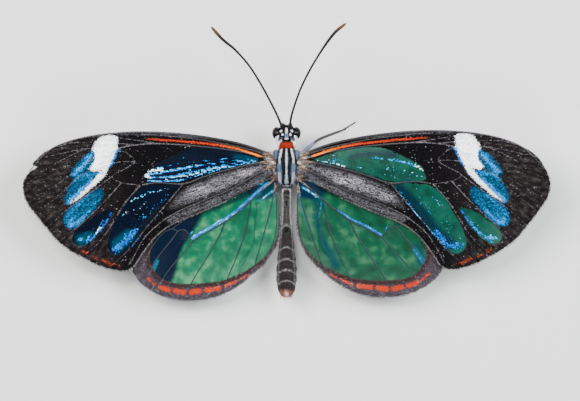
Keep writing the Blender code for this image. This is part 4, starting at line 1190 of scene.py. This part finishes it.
# Colour, route as (out, back), half-width at its start and end, softness; laid on in this order
bodyStrokes = (
    ("slate", ((0.72, 0.05), (0.80, 0.60), (0.74, 1.15)), 0.26, 0.20, 0.10),
    ("shoulder", ((1.00, -0.98), (1.14, -0.55), (1.18, -0.05)), 0.15, 0.13, 0.06),
    ("lavender", ((0.72, 1.15), (0.66, 1.60), (0.58, 2.08)), 0.15, 0.12, 0.05),
    ("black", ((0.23, -1.15), (0.29, -0.65), (0.31, -0.10), (0.27, 0.50), (0.25, 1.25), (0.36, 1.95)),
     0.19, 0.15, 0.03),
    ("black", ((0.34, -0.55), (0.40, -0.05), (0.36, 0.30)), 0.15, 0.15, 0.05),
    ("black", ((0.98, 0.15), (0.94, 0.75), (0.84, 1.25)), 0.07, 0.05, 0.05),
    ("white", ((0.44, -1.15), (0.55, -0.65), (0.70, -0.10), (0.66, 0.10)), 0.062, 0.052, 0.03),
    ("black", ((0.68, -1.15), (0.80, -0.65), (0.90, -0.05), (0.88, 0.12)), 0.10, 0.11, 0.04),
    ("white", ((0.0, -1.15), (0.0, 0.40)), 0.052, 0.058, 0.03),
    ("paleBlue", ((0.0, 0.40), (0.0, 0.80)), 0.056, 0.060, 0.03),
    ("white", ((0.0, 0.80), (0.0, 1.35)), 0.058, 0.075, 0.03),
    ("paleBlue", ((0.0, 1.30), (0.0, 2.05)), 0.09, 0.20, 0.05),
    ("black", ((0.0, 2.20), (0.55, 2.18)), 0.09, 0.07, 0.03),
    ("line", ((0.0, 2.33), (0.40, 2.33)), 0.055, 0.05, 0.03),
    ("black", ((0.0, 2.47), (0.55, 2.47)), 0.07, 0.07, 0.03),
    ("sidePale", ((0.0, 2.64), (0.40, 2.64)), 0.035, 0.04, 0.03),
    ("sidePale", ((0.36, 2.72), (0.36, 2.94)), 0.08, 0.05, 0.04),
    ("black", ((0.0, 2.80), (0.16, 2.82)), 0.05, 0.04, 0.03),
    ("black", ((0.0, 3.06), (0.30, 3.08)), 0.06, 0.05, 0.03),
    ("arc", ((0.36, 3.12), (0.34, 4.60), (0.41, 5.90)), 0.050, 0.050, 0.04),
    ("black", ((-0.1, 3.42), (0.1, 3.42)), 0.09, 0.09, 0.05),
    ("black", ((0.0, 3.85), (0.0, 4.15)), 0.11, 0.10, 0.05),
    ("abdomen", ((0.16, 4.4), (0.14, 5.90)), 0.05, 0.05, 0.06),
    ("black", ((0.0, 6.35), (0.0, 6.62)), 0.14, 0.20, 0.06),
    ("white", ((0.0, -3.14), (0.0, -2.66)), 0.105, 0.075, 0.025),
    ("white", ((0.52, -2.87), (0.56, -2.84)), 0.095, 0.095, 0.02),
    ("paleBlue", ((0.36, -3.03), (0.37, -3.00)), 0.055, 0.055, 0.02),
    ("white", ((0.37, -2.51), (0.39, -2.49)), 0.085, 0.085, 0.02),
    ("slate", ((0.0, -2.46), (0.0, -2.22)), 0.15, 0.15, 0.05),
    ("headBlack", ((0.0, -2.48), (0.0, -2.42)), 0.05, 0.05, 0.03),
    ("white", ((0.0, -2.12), (0.14, -2.12)), 0.055, 0.045, 0.025),
    ("slate", ((0.40, -2.16), (0.52, -2.20)), 0.05, 0.05, 0.03))


def tableCurve(rows, wanted):
    given = np.array(rows, float)
    x = given[:, 0]
    slopes = np.gradient(given[:, 1:], x, axis=0)
    k = np.clip(np.searchsorted(x, wanted) - 1, 0, len(x) - 2)
    gap = (x[k + 1] - x[k])[:, None]
    t = ((wanted - x[k]) / gap[:, 0])[:, None]
    a, b = given[k, 1:], given[k + 1, 1:]
    return ((2 * t ** 3 - 3 * t ** 2 + 1) * a + (t ** 3 - 2 * t ** 2 + t) * gap * slopes[k]
            + (3 * t ** 2 - 2 * t ** 3) * b + (t ** 3 - t ** 2) * gap * slopes[k + 1])


# Rings of the skin as an array (ring, place, xyz) in millimetres, counted around from the belly
def bodyGrid(low, high, around):
    backs = np.linspace(low, high, max(4, int(round((high - low) / bodyForm["step"]))))
    table = tableCurve(bodyForm["rows"], backs)
    half, top, under = table[:, 0].copy(), table[:, 1].copy(), table[:, 2].copy()
    start = bodyForm["segmentsFrom"]
    for end in bodyForm["segments"] + (bodyForm["segmentsTo"],):
        swell = bodyForm["segmentSwell"] * ((backs - start) / (end - start)) ** 2 - bodyForm["segmentStart"]
        edge = np.clip((end - backs) / bodyForm["segmentEdge"], 0, 1)
        swell = np.where((backs > start) & (backs <= end), swell * edge, 0.0)
        half += swell
        top += swell
        under -= swell
        start = end
    angle = -math.pi / 2 + 2 * math.pi * np.arange(around) / around
    across, rise = (np.sign(part) * np.abs(part) ** bodyForm["squareness"] for part in (np.cos(angle), np.sin(angle)))
    x = half[:, None] * across
    z = (top + under)[:, None] / 2 + (top - under)[:, None] / 2 * rise
    deep, wide = bodyForm["fold"]
    for centre in bodyForm["foldsAt"]:
        z = z - deep * np.exp(-((backs[:, None] - centre) / wide) ** 2) * (np.abs(x) < 0.75) * (rise > 0.2)
    y = np.repeat(backs[:, None], around, axis=1)
    return np.stack([x, y, z], axis=2)


# A net over rows of places; one that wraps is closed all round and at both ends
def gridMesh(name, grid, wraps):
    rings, around = grid.shape[:2]
    points = grid.reshape(-1, 3) * mm
    faces = []
    for ring in range(rings - 1):
        for k in range(around if wraps else around - 1):
            a = ring * around + k
            b = ring * around + (k + 1) % around
            faces.append((a, b, b + around, a + around))
    if wraps:
        points = np.vstack([points, grid[0].mean(0) * mm, grid[-1].mean(0) * mm])
        first, base = rings * around, (rings - 1) * around
        for k in range(around):
            n = (k + 1) % around
            faces += [(n, k, first), (base + k, base + n, first + 1)]
    mesh = meshFrom(name, points, faces)
    if wraps:
        faceOutwards(mesh)
    mesh.shade_smooth()
    return mesh


def bodyColours(places, normals):
    out, back, up = np.abs(places[:, 0]), places[:, 1], normals[:, 2]
    paint = {key: np.array(value) for key, value in bodyPaint.items()}
    colour = np.tile(paint["headBlack"], (len(places), 1))

    def lay(key, share):
        nonlocal colour
        share = np.clip(share, 0, 1)[:, None]
        colour = colour * (1 - share) + paint[key] * share

    lay("slate", ramp(back, -1.16, -1.12) * ramp(back, 2.12, 2.08) * 0.55)
    lay("abdomen", ramp(back, 2.55, 2.65))
    lay("abdomenRear", ramp(back, 6.0, 9.0) * 0.8)
    lay("abdomenFront", ramp(back, 2.95, 3.1) * ramp(back, 6.6, 6.0))
    lay("orange", ramp(back, -1.86, -1.80) * ramp(back, -1.10, -1.14) * ramp(out, 0.76, 0.70))
    topSide = ramp(up, 0.02, 0.22)
    plan = np.column_stack([out, back])
    for key, route, start, end, soft in bodyStrokes:
        lay(key, ramp(strokeField(plan, route, start, end), -soft, soft) * topSide)
    half = np.interp(back, *np.array(bodyForm["rows"])[:, :2].T)
    share = np.clip(out / np.maximum(half, 0.05), 0, 1)
    bowed = back - 0.42 * share ** 2 + 0.14
    for end in bodyForm["segments"][1:]:
        lay("arc", np.exp(-((bowed - end) / 0.060) ** 2) * ramp(up, -0.15, 0.1) * 0.85)
    patchy = 0.65 + 0.35 * np.sin(back * 9 + 2 * np.sin(back * 23))
    patchy = patchy * topSide
    lay("arc", patchy * np.exp(-((share - 0.86) / 0.12) ** 2) * ramp(back, 5.8, 6.2) * ramp(back, 12.2, 11.6) * 0.5)
    lay("sidePale", patchy * np.exp(-((share - 0.92) / 0.10) ** 2) * ramp(back, 2.7, 3.1) * ramp(back, 8.0, 5.5) * 1.1)
    lay("belly", ramp(up, -0.35, -0.7) * ramp(back, 2.6, 3.2))
    lay("sidePale", np.exp(-((up + 0.35) / 0.16) ** 2) * ramp(back, -0.9, -0.6) * ramp(back, 2.0, 1.6) * 0.8)
    lay("white", np.exp(-((up + 0.05) / 0.22) ** 2) * ramp(back, -1.98, -1.84) * ramp(back, -1.30, -1.42))
    lay("tip", ramp(back, 12.15, 12.6))
    lay("orangeDark", (np.sin(places[:, 0] * 23 + 3 * np.sin(back * 17)) > 0.55) * ramp(back, -1.80, -1.74)
        * ramp(back, -1.16, -1.22) * ramp(out, 0.70, 0.64) * 0.6)
    # a painted highlight on the top of the abdomen's tip
    lay("tipShine", np.exp(-((back - 12.72) / 0.22) ** 2 - (out / 0.20) ** 2) * topSide)
    return opaque(colour)


def coatedMaterial(name, rough, sheen=0.06):
    made, bench = newMaterial(name)
    grain = bench.noise(bench.place(), 14000.0, 3.0)
    own = bench.attribute("skinColour", "Color")
    tone = bench.attribute("tone")
    dark = bench.mix((0.0, 0.0, 0.0), own, 0.30)
    light = bench.mix(own, (1.0, 1.0, 1.0), 0.025)
    colour = bench.mix(dark, own, bench.step(tone * 0.6 + grain * 0.4, 0.05, 0.55))
    colour = bench.mix(colour, light, bench.step(tone, 0.72, 0.98) * 0.8)
    finishShader(bench, {"Base Color": colour, "Roughness": rough, "Specular IOR Level": sheen}, (grain, 0.35, 0.00003))
    return made


def makeBody():
    grid = bodyGrid(bodyForm["rows"][0][0], bodyForm["rows"][-1][0], bodyForm["ring"])
    mesh = gridMesh("body_skin", grid, True)
    putFields(mesh, skinColour=bodyColours(meshPoints(mesh), meshNormals(mesh)), tone=0.5)
    skin = newObject("body_skin", mesh)
    setMaterial(skin, coatedMaterial("bodySkin", 0.55))
    placePiece(skin, "thorax_scales", "head", "collar", "thorax", "abdomen")
    scaleFinish = coatedMaterial("bodyScales", 0.5)
    hairFinish = coatedMaterial("bodyHairs", 0.45, 0.10)
    for number, (name, low, high, size) in enumerate(bodyForm["parts"]):
        for kind, ending, finish in (("bodyScale", "_coat", scaleFinish), ("bodyHair", "_hairs", hairFinish)):
            strip = bodyGrid(low, high, bodyForm["ring"])
            strip = np.concatenate([strip, strip[:, :1]], axis=1)
            bed = gridMesh(name + kind, strip, False)
            places, normals = meshPoints(bed), meshNormals(bed)
            if (normals * (places - bodyForm["core"]))[:, [0, 2]].sum() < 0:
                bed.flip_normals()
                normals = -normals
            rings, around = strip.shape[:2]
            u, v = np.meshgrid(np.linspace(0, 1, around), np.linspace(0, 1, rings))
            lie = np.tile((0.0, 1.0, 0.0), (len(places), 1))
            growth = size
            if name == "head":
                lie = np.column_stack([places[:, 0] * 0.6, -0.6 + 0 * places[:, 0], 0.5 + 0 * places[:, 0]])
            elif kind == "bodyHair" and name == "abdomen":
                growth = 0.45 + 1.1 * ramp(places[:, 1], 12.1, 12.8)
            beside = (places * np.where(places[:, :1] > 0, 1, (-1, 1, 1)) - eyeForm["centre"]) / eyeForm["size"]
            putFields(bed, skinColour=bodyColours(places, normals), bedPlace=mapPlaces(u.ravel(), v.ravel()), lie=lie,
                      cover=ramp(np.linalg.norm(beside, axis=1), 1.0, 1.15), growth=growth)
            piece = growCoat(name + ending, bed, kind, finish, coatSeeds["body"] + number)
            placePiece(piece, name + "_scales")
            print(piece.name, len(piece.data.polygons), "triangles")


# The white tufts behind the eyes and beside the collar, and the black one over the face

tuftForm = {                        # route, greatest radius, slot, and colours along the route
    "cheek": (((0.74, -2.44, 4.98), (0.86, -2.30, 4.92), (0.93, -2.14, 4.78), (0.90, -1.98, 4.58)), 0.092,
              "head_scales", ((0.0, "white"), (0.8, "white"), (1.0, "paleBlue"))),
    "shoulder": (((0.66, -1.88, 4.76), (0.76, -1.74, 4.70), (0.76, -1.54, 4.62), (0.70, -1.38, 4.54)), 0.110,
                 "collar_scales", ((0.0, "white"), (0.8, "white"), (1.0, "paleBlue"))),
    "brow": (((-0.30, -3.30, 4.70), (0.0, -3.31, 4.72), (0.26, -3.29, 4.72), (0.48, -3.21, 4.68), (0.70, -3.05, 4.58)),
             0.140, "head_scales", ((0.0, "headBlack"), (1.0, "headBlack")))}


def makeTufts(finish):
    for number, (label, side) in enumerate(sides):
        for name, (route, radius, slot, stops) in tuftForm.items():
            line = smoothCurve(mirrored(route, side), 0.04)
            size = radius * np.sin(math.pi * (0.12 + 0.76 * np.linspace(0, 1, len(line))))
            piece = sweepPiece("%s_%s_tuft" % (name, label), [(line, size)], finish, 12)
            found, way = tubeColours(piece, line, stops)
            placePiece(piece, slot)
            coatLimb(piece, "tuftScale", finish, slot, coatSeeds["tuft"] + number, found, way)


# Eyes

eyeForm = {
    "centre": (0.94, -2.68, 4.36),
    "size": (0.45, 0.60, 0.68),
    "rings": 40,
    "around": 64,
    "dark": (0.0022, 0.0020, 0.0026),
    "brown": (0.007, 0.005, 0.005)}


def ellipsoidMesh(name, centre, size, rings, around):
    tilt = math.pi * np.arange(1, rings)[:, None] / rings
    turn = 2 * math.pi * np.arange(around) / around
    belts = np.stack([np.sin(tilt) * np.cos(turn), np.sin(tilt) * np.sin(turn), np.cos(tilt) + 0 * turn], axis=2)
    points = np.vstack([(0, 0, 1.0), belts.reshape(-1, 3), (0, 0, -1.0)])
    last = len(points) - 1
    faces = []
    for k in range(around):
        n = (k + 1) % around
        faces.append((0, 1 + k, 1 + n))
        for a in range(1, last - around, around):
            faces.append((a + k, a + around + k, a + around + n, a + n))
        faces.append((last, last - around + n, last - around + k))
    mesh = meshFrom(name, (points * size + centre) * mm, faces)
    mesh.shade_smooth()
    return mesh


def eyeMaterial():
    made, bench = newMaterial("eyeFacets")
    place = bench.place()
    facets = bench.add("ShaderNodeTexVoronoi", {"feature": "SMOOTH_F1"}, {"Vector": place, "Scale": 36000.0})
    colour = bench.mix(eyeForm["dark"], eyeForm["brown"], bench.step(bench.noise(place, 2600.0), 0.42, 0.75))
    finishShader(bench, {
        "Base Color": colour, "Roughness": 0.40, "Specular IOR Level": 0.08, "Coat Weight": 0.14,
        "Coat Roughness": 0.05}, (facets, 0.08, 0.00001))
    return made


# Feelers, palps, tongue and legs: tubes whose radius follows the route

limbForm = {
    "feeler": {
        "left": ((0.36, -3.04, 4.86), (0.50, -3.42, 5.12), (1.0, -4.6, 5.55), (2.2, -6.9, 6.0), (3.5, -9.0, 6.4),
                 (4.9, -10.6, 6.7), (6.1, -11.6, 6.85), (7.2, -12.8, 6.95)),
        "right": ((0.32, -3.04, 4.86), (0.34, -3.42, 5.12), (0.55, -4.6, 5.55), (1.4, -7.0, 6.0), (2.7, -9.5, 6.4),
                  (4.4, -12.0, 6.8), (5.7, -13.15, 6.95)),
        "radii": ((0.0, 0.15), (0.035, 0.16), (0.05, 0.115), (0.3, 0.105), (0.68, 0.110), (0.82, 0.145), (0.95, 0.165),
                  (0.99, 0.11), (1.0, 0.04)),
        "segment": 0.32,
        "dark": (0.004, 0.003, 0.003),
        "light": (0.022, 0.018, 0.017),
        "ring": (0.06, 0.055, 0.055),
        "club": (0.075, 0.022, 0.010)},
    "palp": {
        "route": ((0.34, -2.80, 3.40), (0.37, -2.98, 3.20), (0.38, -3.26, 3.15), (0.38, -3.46, 3.50),
                  (0.33, -3.46, 4.02), (0.27, -3.38, 4.30), (0.22, -3.33, 4.42)),
        "radii": ((0.0, 0.14), (0.45, 0.16), (0.72, 0.13), (0.92, 0.07), (1.0, 0.03)),
        "colours": ((0.0, "white"), (0.50, "white"), (0.58, "black"), (1.0, "black"))},
    "tongue": {
        "centre": (-2.50, 2.72),
        "outer": 0.62,
        "turns": 2.6,
        "places": 131,              # points of the coil's route
        "pitch": 0.185,
        "ripple": 420,              # radians of its fine rings, over the whole length
        "radii": ((0.0, 0.12), (0.15, 0.095), (0.8, 0.06), (1.0, 0.03)),
        "colours": ((0.030, 0.014, 0.007), (0.12, 0.055, 0.025))},
    "legs": {                       # route of each pair, with the radius at each point
        "foreleg": ((0.50, -0.78, 2.75, 0.26), (0.58, -0.98, 2.05, 0.22), (0.66, -1.50, 1.92, 0.13),
                    (0.70, -2.02, 2.38, 0.11), (0.68, -2.12, 2.70, 0.08), (0.66, -2.10, 3.02, 0.04)),
        "midleg": ((0.56, 0.22, 2.60, 0.28), (0.68, 0.12, 1.78, 0.24), (0.92, -0.10, 1.66, 0.13),
                   (1.30, -0.50, 1.85, 0.17), (2.10, -1.30, 2.80, 0.18), (2.92, -1.95, 3.42, 0.14),
                   (3.60, -2.30, 3.00, 0.13), (4.60, -2.70, 1.60, 0.12), (5.25, -2.95, 0.55, 0.10),
                   (5.62, -3.14, 0.13, 0.07), (6.20, -3.50, 0.11, 0.055), (6.60, -3.75, 0.11, 0.045)),
        "leftMidleg": ((0.56, 0.22, 2.60, 0.28), (0.68, 0.24, 1.78, 0.24), (0.94, 0.30, 1.66, 0.13),
                       (1.30, 0.36, 1.85, 0.16), (2.20, 0.62, 2.62, 0.15), (3.00, 0.90, 3.02, 0.12),
                       (3.80, 1.20, 2.55, 0.11), (4.80, 1.58, 1.40, 0.10), (5.40, 1.82, 0.50, 0.09),
                       (5.78, 1.98, 0.13, 0.07), (6.35, 2.22, 0.11, 0.055), (6.80, 2.42, 0.11, 0.045)),
        "hindleg": ((0.54, 1.18, 2.60, 0.28), (0.64, 1.42, 1.78, 0.24), (0.86, 1.85, 1.64, 0.13),
                    (1.20, 2.40, 1.80, 0.17), (2.10, 3.45, 2.30, 0.16), (2.88, 4.22, 2.50, 0.13),
                    (3.05, 5.30, 2.05, 0.11), (3.08, 7.00, 1.10, 0.10), (3.25, 8.10, 0.46, 0.09),
                    (3.62, 8.75, 0.13, 0.07), (4.10, 9.32, 0.11, 0.055), (4.50, 9.75, 0.11, 0.045))},
    "legJoints": (1, 2, 5, 9),      # the points of a leg's route at hip, thigh, knee and ankle
    "neck": (0.22, 0.008),          # how deep and wide the joints are drawn in
    "footRings": 5,
    # The pair of claws, and the pair of spurs above the foot: ahead, aside and up
    "claw": ((0.0, 0.0, 0.0), (0.07, 0.05, 0.05), (0.14, 0.08, 0.02), (0.17, 0.08, -0.05)),
    "spur": ((0.0, 0.0, 0.0), (0.16, 0.11, 0.0), (0.30, 0.15, 0.0)),
    "legPaint": {
        "femur": (0.22, 0.22, 0.36),
        "tibia": (0.036, 0.031, 0.032),
        "tarsus": (0.030, 0.024, 0.022)}}


# Share of the route at each place of a mesh, and the direction of the route there
def routeShare(places, line):
    run = runAlong(line)
    best = np.full(len(places), 1e9)
    share = np.zeros(len(places))
    way = np.zeros((len(places), 3))
    for k, (a, b) in enumerate(zip(line, line[1:])):
        step = b - a
        t = np.clip((places - a) @ step / (step @ step), 0, 1)
        far = np.linalg.norm(places - a - t[:, None] * step, axis=1)
        near = far < best
        best[near] = far[near]
        share[near] = (run[k] + t[near] * np.linalg.norm(step)) / run[-1]
        way[near] = step / np.linalg.norm(step)
    return share, way


def mirrored(route, side):
    return [(point[0] * side, *point[1:]) for point in route]


# Radii along a line, from a table of shares and radii
def tubeSizes(line, table):
    share = np.linspace(0, 1, len(line))
    return share, np.interp(share, *np.array(table).T)


def makeFeeler(label, side):
    form = limbForm["feeler"]
    line = smoothCurve(mirrored(form[label], side), 0.055)
    share, size = tubeSizes(line, form["radii"])
    beats = math.pi * runAlong(line)[-1] / form["segment"]
    size = size * np.where(share > 0.05, 0.90 + 0.14 * np.abs(np.sin(share * beats)) ** 0.6, 1.0)
    made, bench = newMaterial("feeler_" + label)
    grain = bench.noise(bench.place(), 16000.0)
    along = bench.attribute("share")
    colour = bench.mix(form["dark"], form["light"], bench.step(grain, 0.45, 0.8) * 0.7)
    colour = bench.mix(colour, form["club"], bench.step(along + (grain - 0.5) * 0.08, 0.88, 0.97))
    rings = bench.step(bench.attribute("ringed"), 0.22, 0.05) * bench.step(along, 0.8, 0.5) * 0.4
    colour = bench.mix(colour, form["ring"], rings)
    finishShader(bench, {"Base Color": colour, "Roughness": 0.42, "Specular IOR Level": 0.12}, (grain, 0.4, 0.00002))
    piece = sweepPiece("antenna_%s_shaft" % label, [(line, size)], made, 12)
    found = routeShare(meshPoints(piece.data), line)[0]
    putFields(piece.data, share=found, ringed=np.abs(np.sin(found * beats)))
    placePiece(piece, "antenna", "antenna_" + label)


def tubeColours(piece, line, stops):
    share, way = routeShare(meshPoints(piece.data), line)
    keys = [stop[0] for stop in stops]
    colours = np.array([bodyPaint.get(stop[1]) or limbForm["legPaint"][stop[1]] for stop in stops])
    values = np.column_stack([np.interp(share, keys, part) for part in colours.T])
    putFields(piece.data, skinColour=opaque(values), tone=0.5)
    return share, way


# Sows a coat straight on a finished piece, lying along its route
def coatLimb(piece, kind, finish, slot, seed, share, way, cover=1.0, growth=1.0):
    bed = piece.data.copy()
    bed.name = piece.name + "Bed"
    normals = meshNormals(bed)
    turn = np.arctan2(normals[:, 2], normals[:, 0]) / (2 * math.pi) + 0.5
    putFields(bed, cover=cover, lie=way, bedPlace=mapPlaces(share, turn))
    placePiece(growCoat(piece.name + "_coat", bed, kind, finish, seed, growth), slot)


def makePalps(finish):
    form = limbForm["palp"]
    for number, (label, side) in enumerate(sides):
        line = smoothCurve(mirrored(form["route"], side), 0.04)
        piece = sweepPiece("palp_%s_stem" % label, [(line, tubeSizes(line, form["radii"])[1])], finish, 14)
        found, way = tubeColours(piece, line, form["colours"])
        placePiece(piece, "palp", "palp_" + label)
        coatLimb(piece, "palpHair", finish, "palp", coatSeeds["palp"] + number, found, way, ramp(found, 0.02, 0.1))


def makeTongue():
    form = limbForm["tongue"]
    back, height = form["centre"]
    route = [(0.0, back - 0.48, 3.85), (0.0, back - 0.60, 3.35)]
    for turned in form["turns"] * np.linspace(0, 1, form["places"]):
        radius = form["outer"] - form["pitch"] * turned
        angle = 2 * math.pi * turned
        route.append((0.0, back - radius * math.cos(angle), height - radius * math.sin(angle)))
    line = smoothCurve(route, 0.04)
    share, size = tubeSizes(line, form["radii"])
    made, bench = newMaterial("tongueHorn")
    grain = bench.noise(bench.place(), 9000.0)
    finishShader(bench, {"Base Color": bench.mix(*form["colours"], grain), "Roughness": 0.28}, (grain, 0.3, 0.00002))
    piece = sweepPiece("proboscis_coil", [(line, size * (0.96 + 0.05 * np.cos(share * form["ripple"])))], made, 12)
    placePiece(piece, "proboscis", "proboscis")


def hookRoute(form, start, way, aside):
    return np.array([start + ahead * way + out * aside + (0, 0, up) for ahead, out, up in form])


def makeLegs(finish):
    seed = coatSeeds["leg"]
    for name in ("foreleg", "midleg", "hindleg"):
        for label, side in sides:
            tucked = name == "midleg" and label == "left"   # under the forewing, where the photo hides it
            rows = np.array(mirrored(limbForm["legs"]["leftMidleg" if tucked else name], side))
            line = smoothCurve(rows[:, :3], 0.05)
            reach = routeShare(rows[:, :3], line)[0]
            share = np.linspace(0, 1, len(line))
            size = np.interp(share, reach, rows[:, 3])
            if name == "foreleg":
                stops = ((0.0, "sidePale"), (0.35, "femur"), (0.7, "femur"), (1.0, "tibia"))
            else:
                hip, thigh, knee, ankle = (reach[k] for k in limbForm["legJoints"])
                deep, wide = limbForm["neck"]
                for joint in (thigh, knee):
                    size = size * (1 - deep * np.exp(-((share - joint) / wide) ** 2))
                feet = np.clip((share - ankle) / (1 - ankle), 0, 1)
                rings = np.abs(np.sin(limbForm["footRings"] * math.pi * feet))
                size = size * np.where(feet > 0, 0.86 + 0.18 * rings, 1.0)
                stops = ((0.0, "sidePale"), (hip, "black"), (thigh, "femur"), (knee - 0.05, "femur"),
                         (knee - 0.01, "tibia"), (ankle, "tibia"), (min(ankle + 0.02, 0.99), "tarsus"), (1.0, "tarsus"))
            tubes = [(line, size)]
            way = line[-1] - line[-4]
            way = way / np.linalg.norm(way)
            aside = np.array((-way[1], way[0], 0.0))
            if name != "foreleg":
                shin = np.array([np.interp(ankle - 0.012, share, line[:, k]) for k in range(3)])
                for turn in (-1, 1):
                    claw = smoothCurve(hookRoute(limbForm["claw"], line[-1], way, turn * aside), 0.03)
                    tubes.append((claw, np.linspace(0.028, 0.010, len(claw))))
                for turn in (-1, 1):
                    tubes.append((hookRoute(limbForm["spur"], shin, way, turn * aside), (0.03, 0.022, 0.008)))
            piece = sweepPiece("%s_%s_limb" % (name, label), tubes, finish, 12)
            found, ways = tubeColours(piece, line, stops)
            placePiece(piece, "leg", "%s_%s" % (name, label))
            coatLimb(piece, "legHair", finish, "leg", seed, found, ways, ramp(found, 0.03, 0.10))
            seed += 1


# Wing roots: the small plates between thorax and wings, and the hairs over them

rootForm = {
    "plates": (                     # start and end as (out, back, height), radius at both
        ((0.95, -0.55, 5.02), (1.95, -0.72, 5.06), 0.20, 0.10),
        ((0.98, -0.20, 5.06), (1.95, -0.30, 5.10), 0.20, 0.11),
        ((0.98, 0.20, 5.02), (1.95, 0.12, 5.06), 0.19, 0.11),
        ((0.95, 0.60, 4.92), (1.85, 0.55, 4.96), 0.18, 0.09),
        ((0.92, 1.00, 4.30), (1.55, 1.45, 4.02), 0.19, 0.10),
        ((0.84, 1.40, 4.18), (1.35, 1.85, 3.98), 0.17, 0.09)),
    "shield": ((1.02, -0.62, 5.22), (0.25, 0.48, 0.24)),
    "brown": (0.045, 0.030, 0.022),
    "beige": (0.20, 0.145, 0.105),
    "white": (0.52, 0.49, 0.49),
    "orange": (0.42, 0.14, 0.04)}


def rootMaterial():
    made, bench = newMaterial("rootHairs")
    grain = bench.noise(bench.place(), 5000.0)
    shade = bench.attribute("tone") * 0.8 + grain * 0.2
    colour = rootForm["brown"]
    for key, low, high in (("beige", 0.30, 0.48), ("orange", 0.62, 0.66), ("white", 0.70, 0.76)):
        colour = bench.mix(colour, rootForm[key], bench.step(shade, low, high))
    finishShader(bench, {"Base Color": colour, "Roughness": 0.5, "Specular IOR Level": 0.2}, (grain, 0.3, 0.00003))
    return made


def makeRoots(label, side, finish, rootFinish, seed):
    tubes = []
    for start, end, wide, narrow in rootForm["plates"]:
        middle = (np.array(start) + end) / 2 + (0, 0, 0.06)
        line = smoothCurve(mirrored([start, tuple(middle), end], side), 0.06)
        share, size = tubeSizes(line, ((0, wide), (1, narrow)))
        tubes.append((line, size * (0.8 + 0.35 * np.sin(math.pi * share) ** 2)))
    piece = sweepPiece("root_%s_plates" % label, tubes, rootFinish, 12)
    x, y = meshPoints(piece.data)[:, :2].T
    putFields(piece.data, tone=0.15 + 0.75 * (np.sin(x * 5.1 + y * 7.3) * 0.5 + 0.5))
    placePiece(piece, "forewing")
    coatLimb(piece, "rootHair", rootFinish, "forewing", seed, np.clip((np.abs(x) - 0.9) / 1.2, 0, 1),
             np.column_stack([side + 0 * x, 0.25 * np.sign(y), 0 * x]), 1.0, 0.9)
    centre, size = rootForm["shield"]
    mesh = ellipsoidMesh("shoulder_%s_plate" % label, (centre[0] * side, *centre[1:]), size, 16, 24)
    x, y = meshPoints(mesh)[:, :2].T
    aside = np.abs(x) - centre[0]
    stripe = np.clip(np.exp(-((aside + 0.14) / 0.05) ** 2) + np.exp(-((aside - 0.12) / 0.04) ** 2) * 0.8, 0, 1)[:, None]
    colours = np.array(bodyPaint["shoulder"]) * (1 - stripe) + np.array(bodyPaint["black"]) * stripe
    putFields(mesh, skinColour=opaque(colours), tone=0.5)
    shield = newObject(mesh.name, mesh)
    setMaterial(shield, finish)
    placePiece(shield, "thorax_scales")
    coatLimb(shield, "bodyScale", finish, "thorax_scales", seed + 2, np.clip((y + 1.2) / 1.2, 0, 1),
             np.tile((0.0, 1.0, 0.0), (len(x), 1)))


makeBody()
print("body made")
eyeFinish = eyeMaterial()
for label, side in sides:
    name = "eye_%s_ball" % label
    centre = mirrored([eyeForm["centre"]], side)[0]
    ball = newObject(name, ellipsoidMesh(name, centre, eyeForm["size"], eyeForm["rings"], eyeForm["around"]))
    setMaterial(ball, eyeFinish)
    placePiece(ball, "eye", "eye_" + label)
    makeFeeler(label, side)
limbFinish = coatedMaterial("limbScales", 0.45, 0.16)
makeTufts(limbFinish)
makePalps(limbFinish)
makeTongue()
makeLegs(limbFinish)
rootFinish = rootMaterial()
for number, (label, side) in enumerate(sides):
    makeRoots(label, side, limbFinish, rootFinish, coatSeeds["root"] + number)
print("eyes, feelers, mouth parts and legs made")


# Floor, light and camera

def makeFloor():
    half = stageSetup["floorSize"] * mm / 2
    mesh = meshFrom("floor", [(-half, -half, 0), (half, -half, 0), (half, half, 0), (-half, half, 0)], [(0, 1, 2, 3)])
    floor = newObject("floor", mesh)
    made, bench = newMaterial("floorPaper")
    pale = stageSetup["floorColour"]
    colour = bench.mix([part * 0.97 for part in pale], pale, bench.noise(bench.place(), 1200.0, 3.0))
    finishShader(bench, {"Base Color": colour, "Roughness": 0.9})
    setMaterial(floor, made)


def makeLamps():
    for number, (place, size, power, colour) in enumerate(stageSetup["lamps"]):
        data = bpy.data.lights.new("lamp%d" % number, "AREA")
        data.size = size * mm
        data.energy = power
        data.color = colour
        lamp = newObject("lamp%d" % number, data)
        lamp.location = [value * mm for value in place]
        aim = Vector([value * mm for value in stageSetup["lampsAim"]]) - lamp.location
        lamp.rotation_euler = aim.to_track_quat("-Z", "Y").to_euler()
    world = bpy.data.worlds.new("studio")
    world.use_nodes = True
    ground = world.node_tree.nodes["Background"]
    ground.inputs["Color"].default_value = (*stageSetup["worldColour"], 1.0)
    ground.inputs["Strength"].default_value = stageSetup["worldStrength"]
    bpy.context.scene.world = world


def makeCamera():
    pixel, height = stageSetup["pixel"], stageSetup["cameraHeight"]
    across, down = ((middle - at) * pixel for middle, at in zip(stageSetup["frameCentre"], stageSetup["axisAt"]))
    data = bpy.data.cameras.new("camera")
    data.sensor_width = stageSetup["sensor"]
    data.lens = stageSetup["sensor"] * height / (stageSetup["frameWidth"] * pixel)
    data.clip_start = 0.01
    data.clip_end = 5.0
    camera = newObject("camera", data)
    camera.location = (-across * mm, down * mm, (height + stageSetup["aimHeight"]) * mm)
    camera.rotation_euler = (0.0, 0.0, math.pi)     # straight down, with the head towards the top
    bpy.context.scene.camera = camera


makeFloor()
makeLamps()
makeCamera()
for shape in (wingScale, fineHair):
    dropObject(shape)
print("stage set")
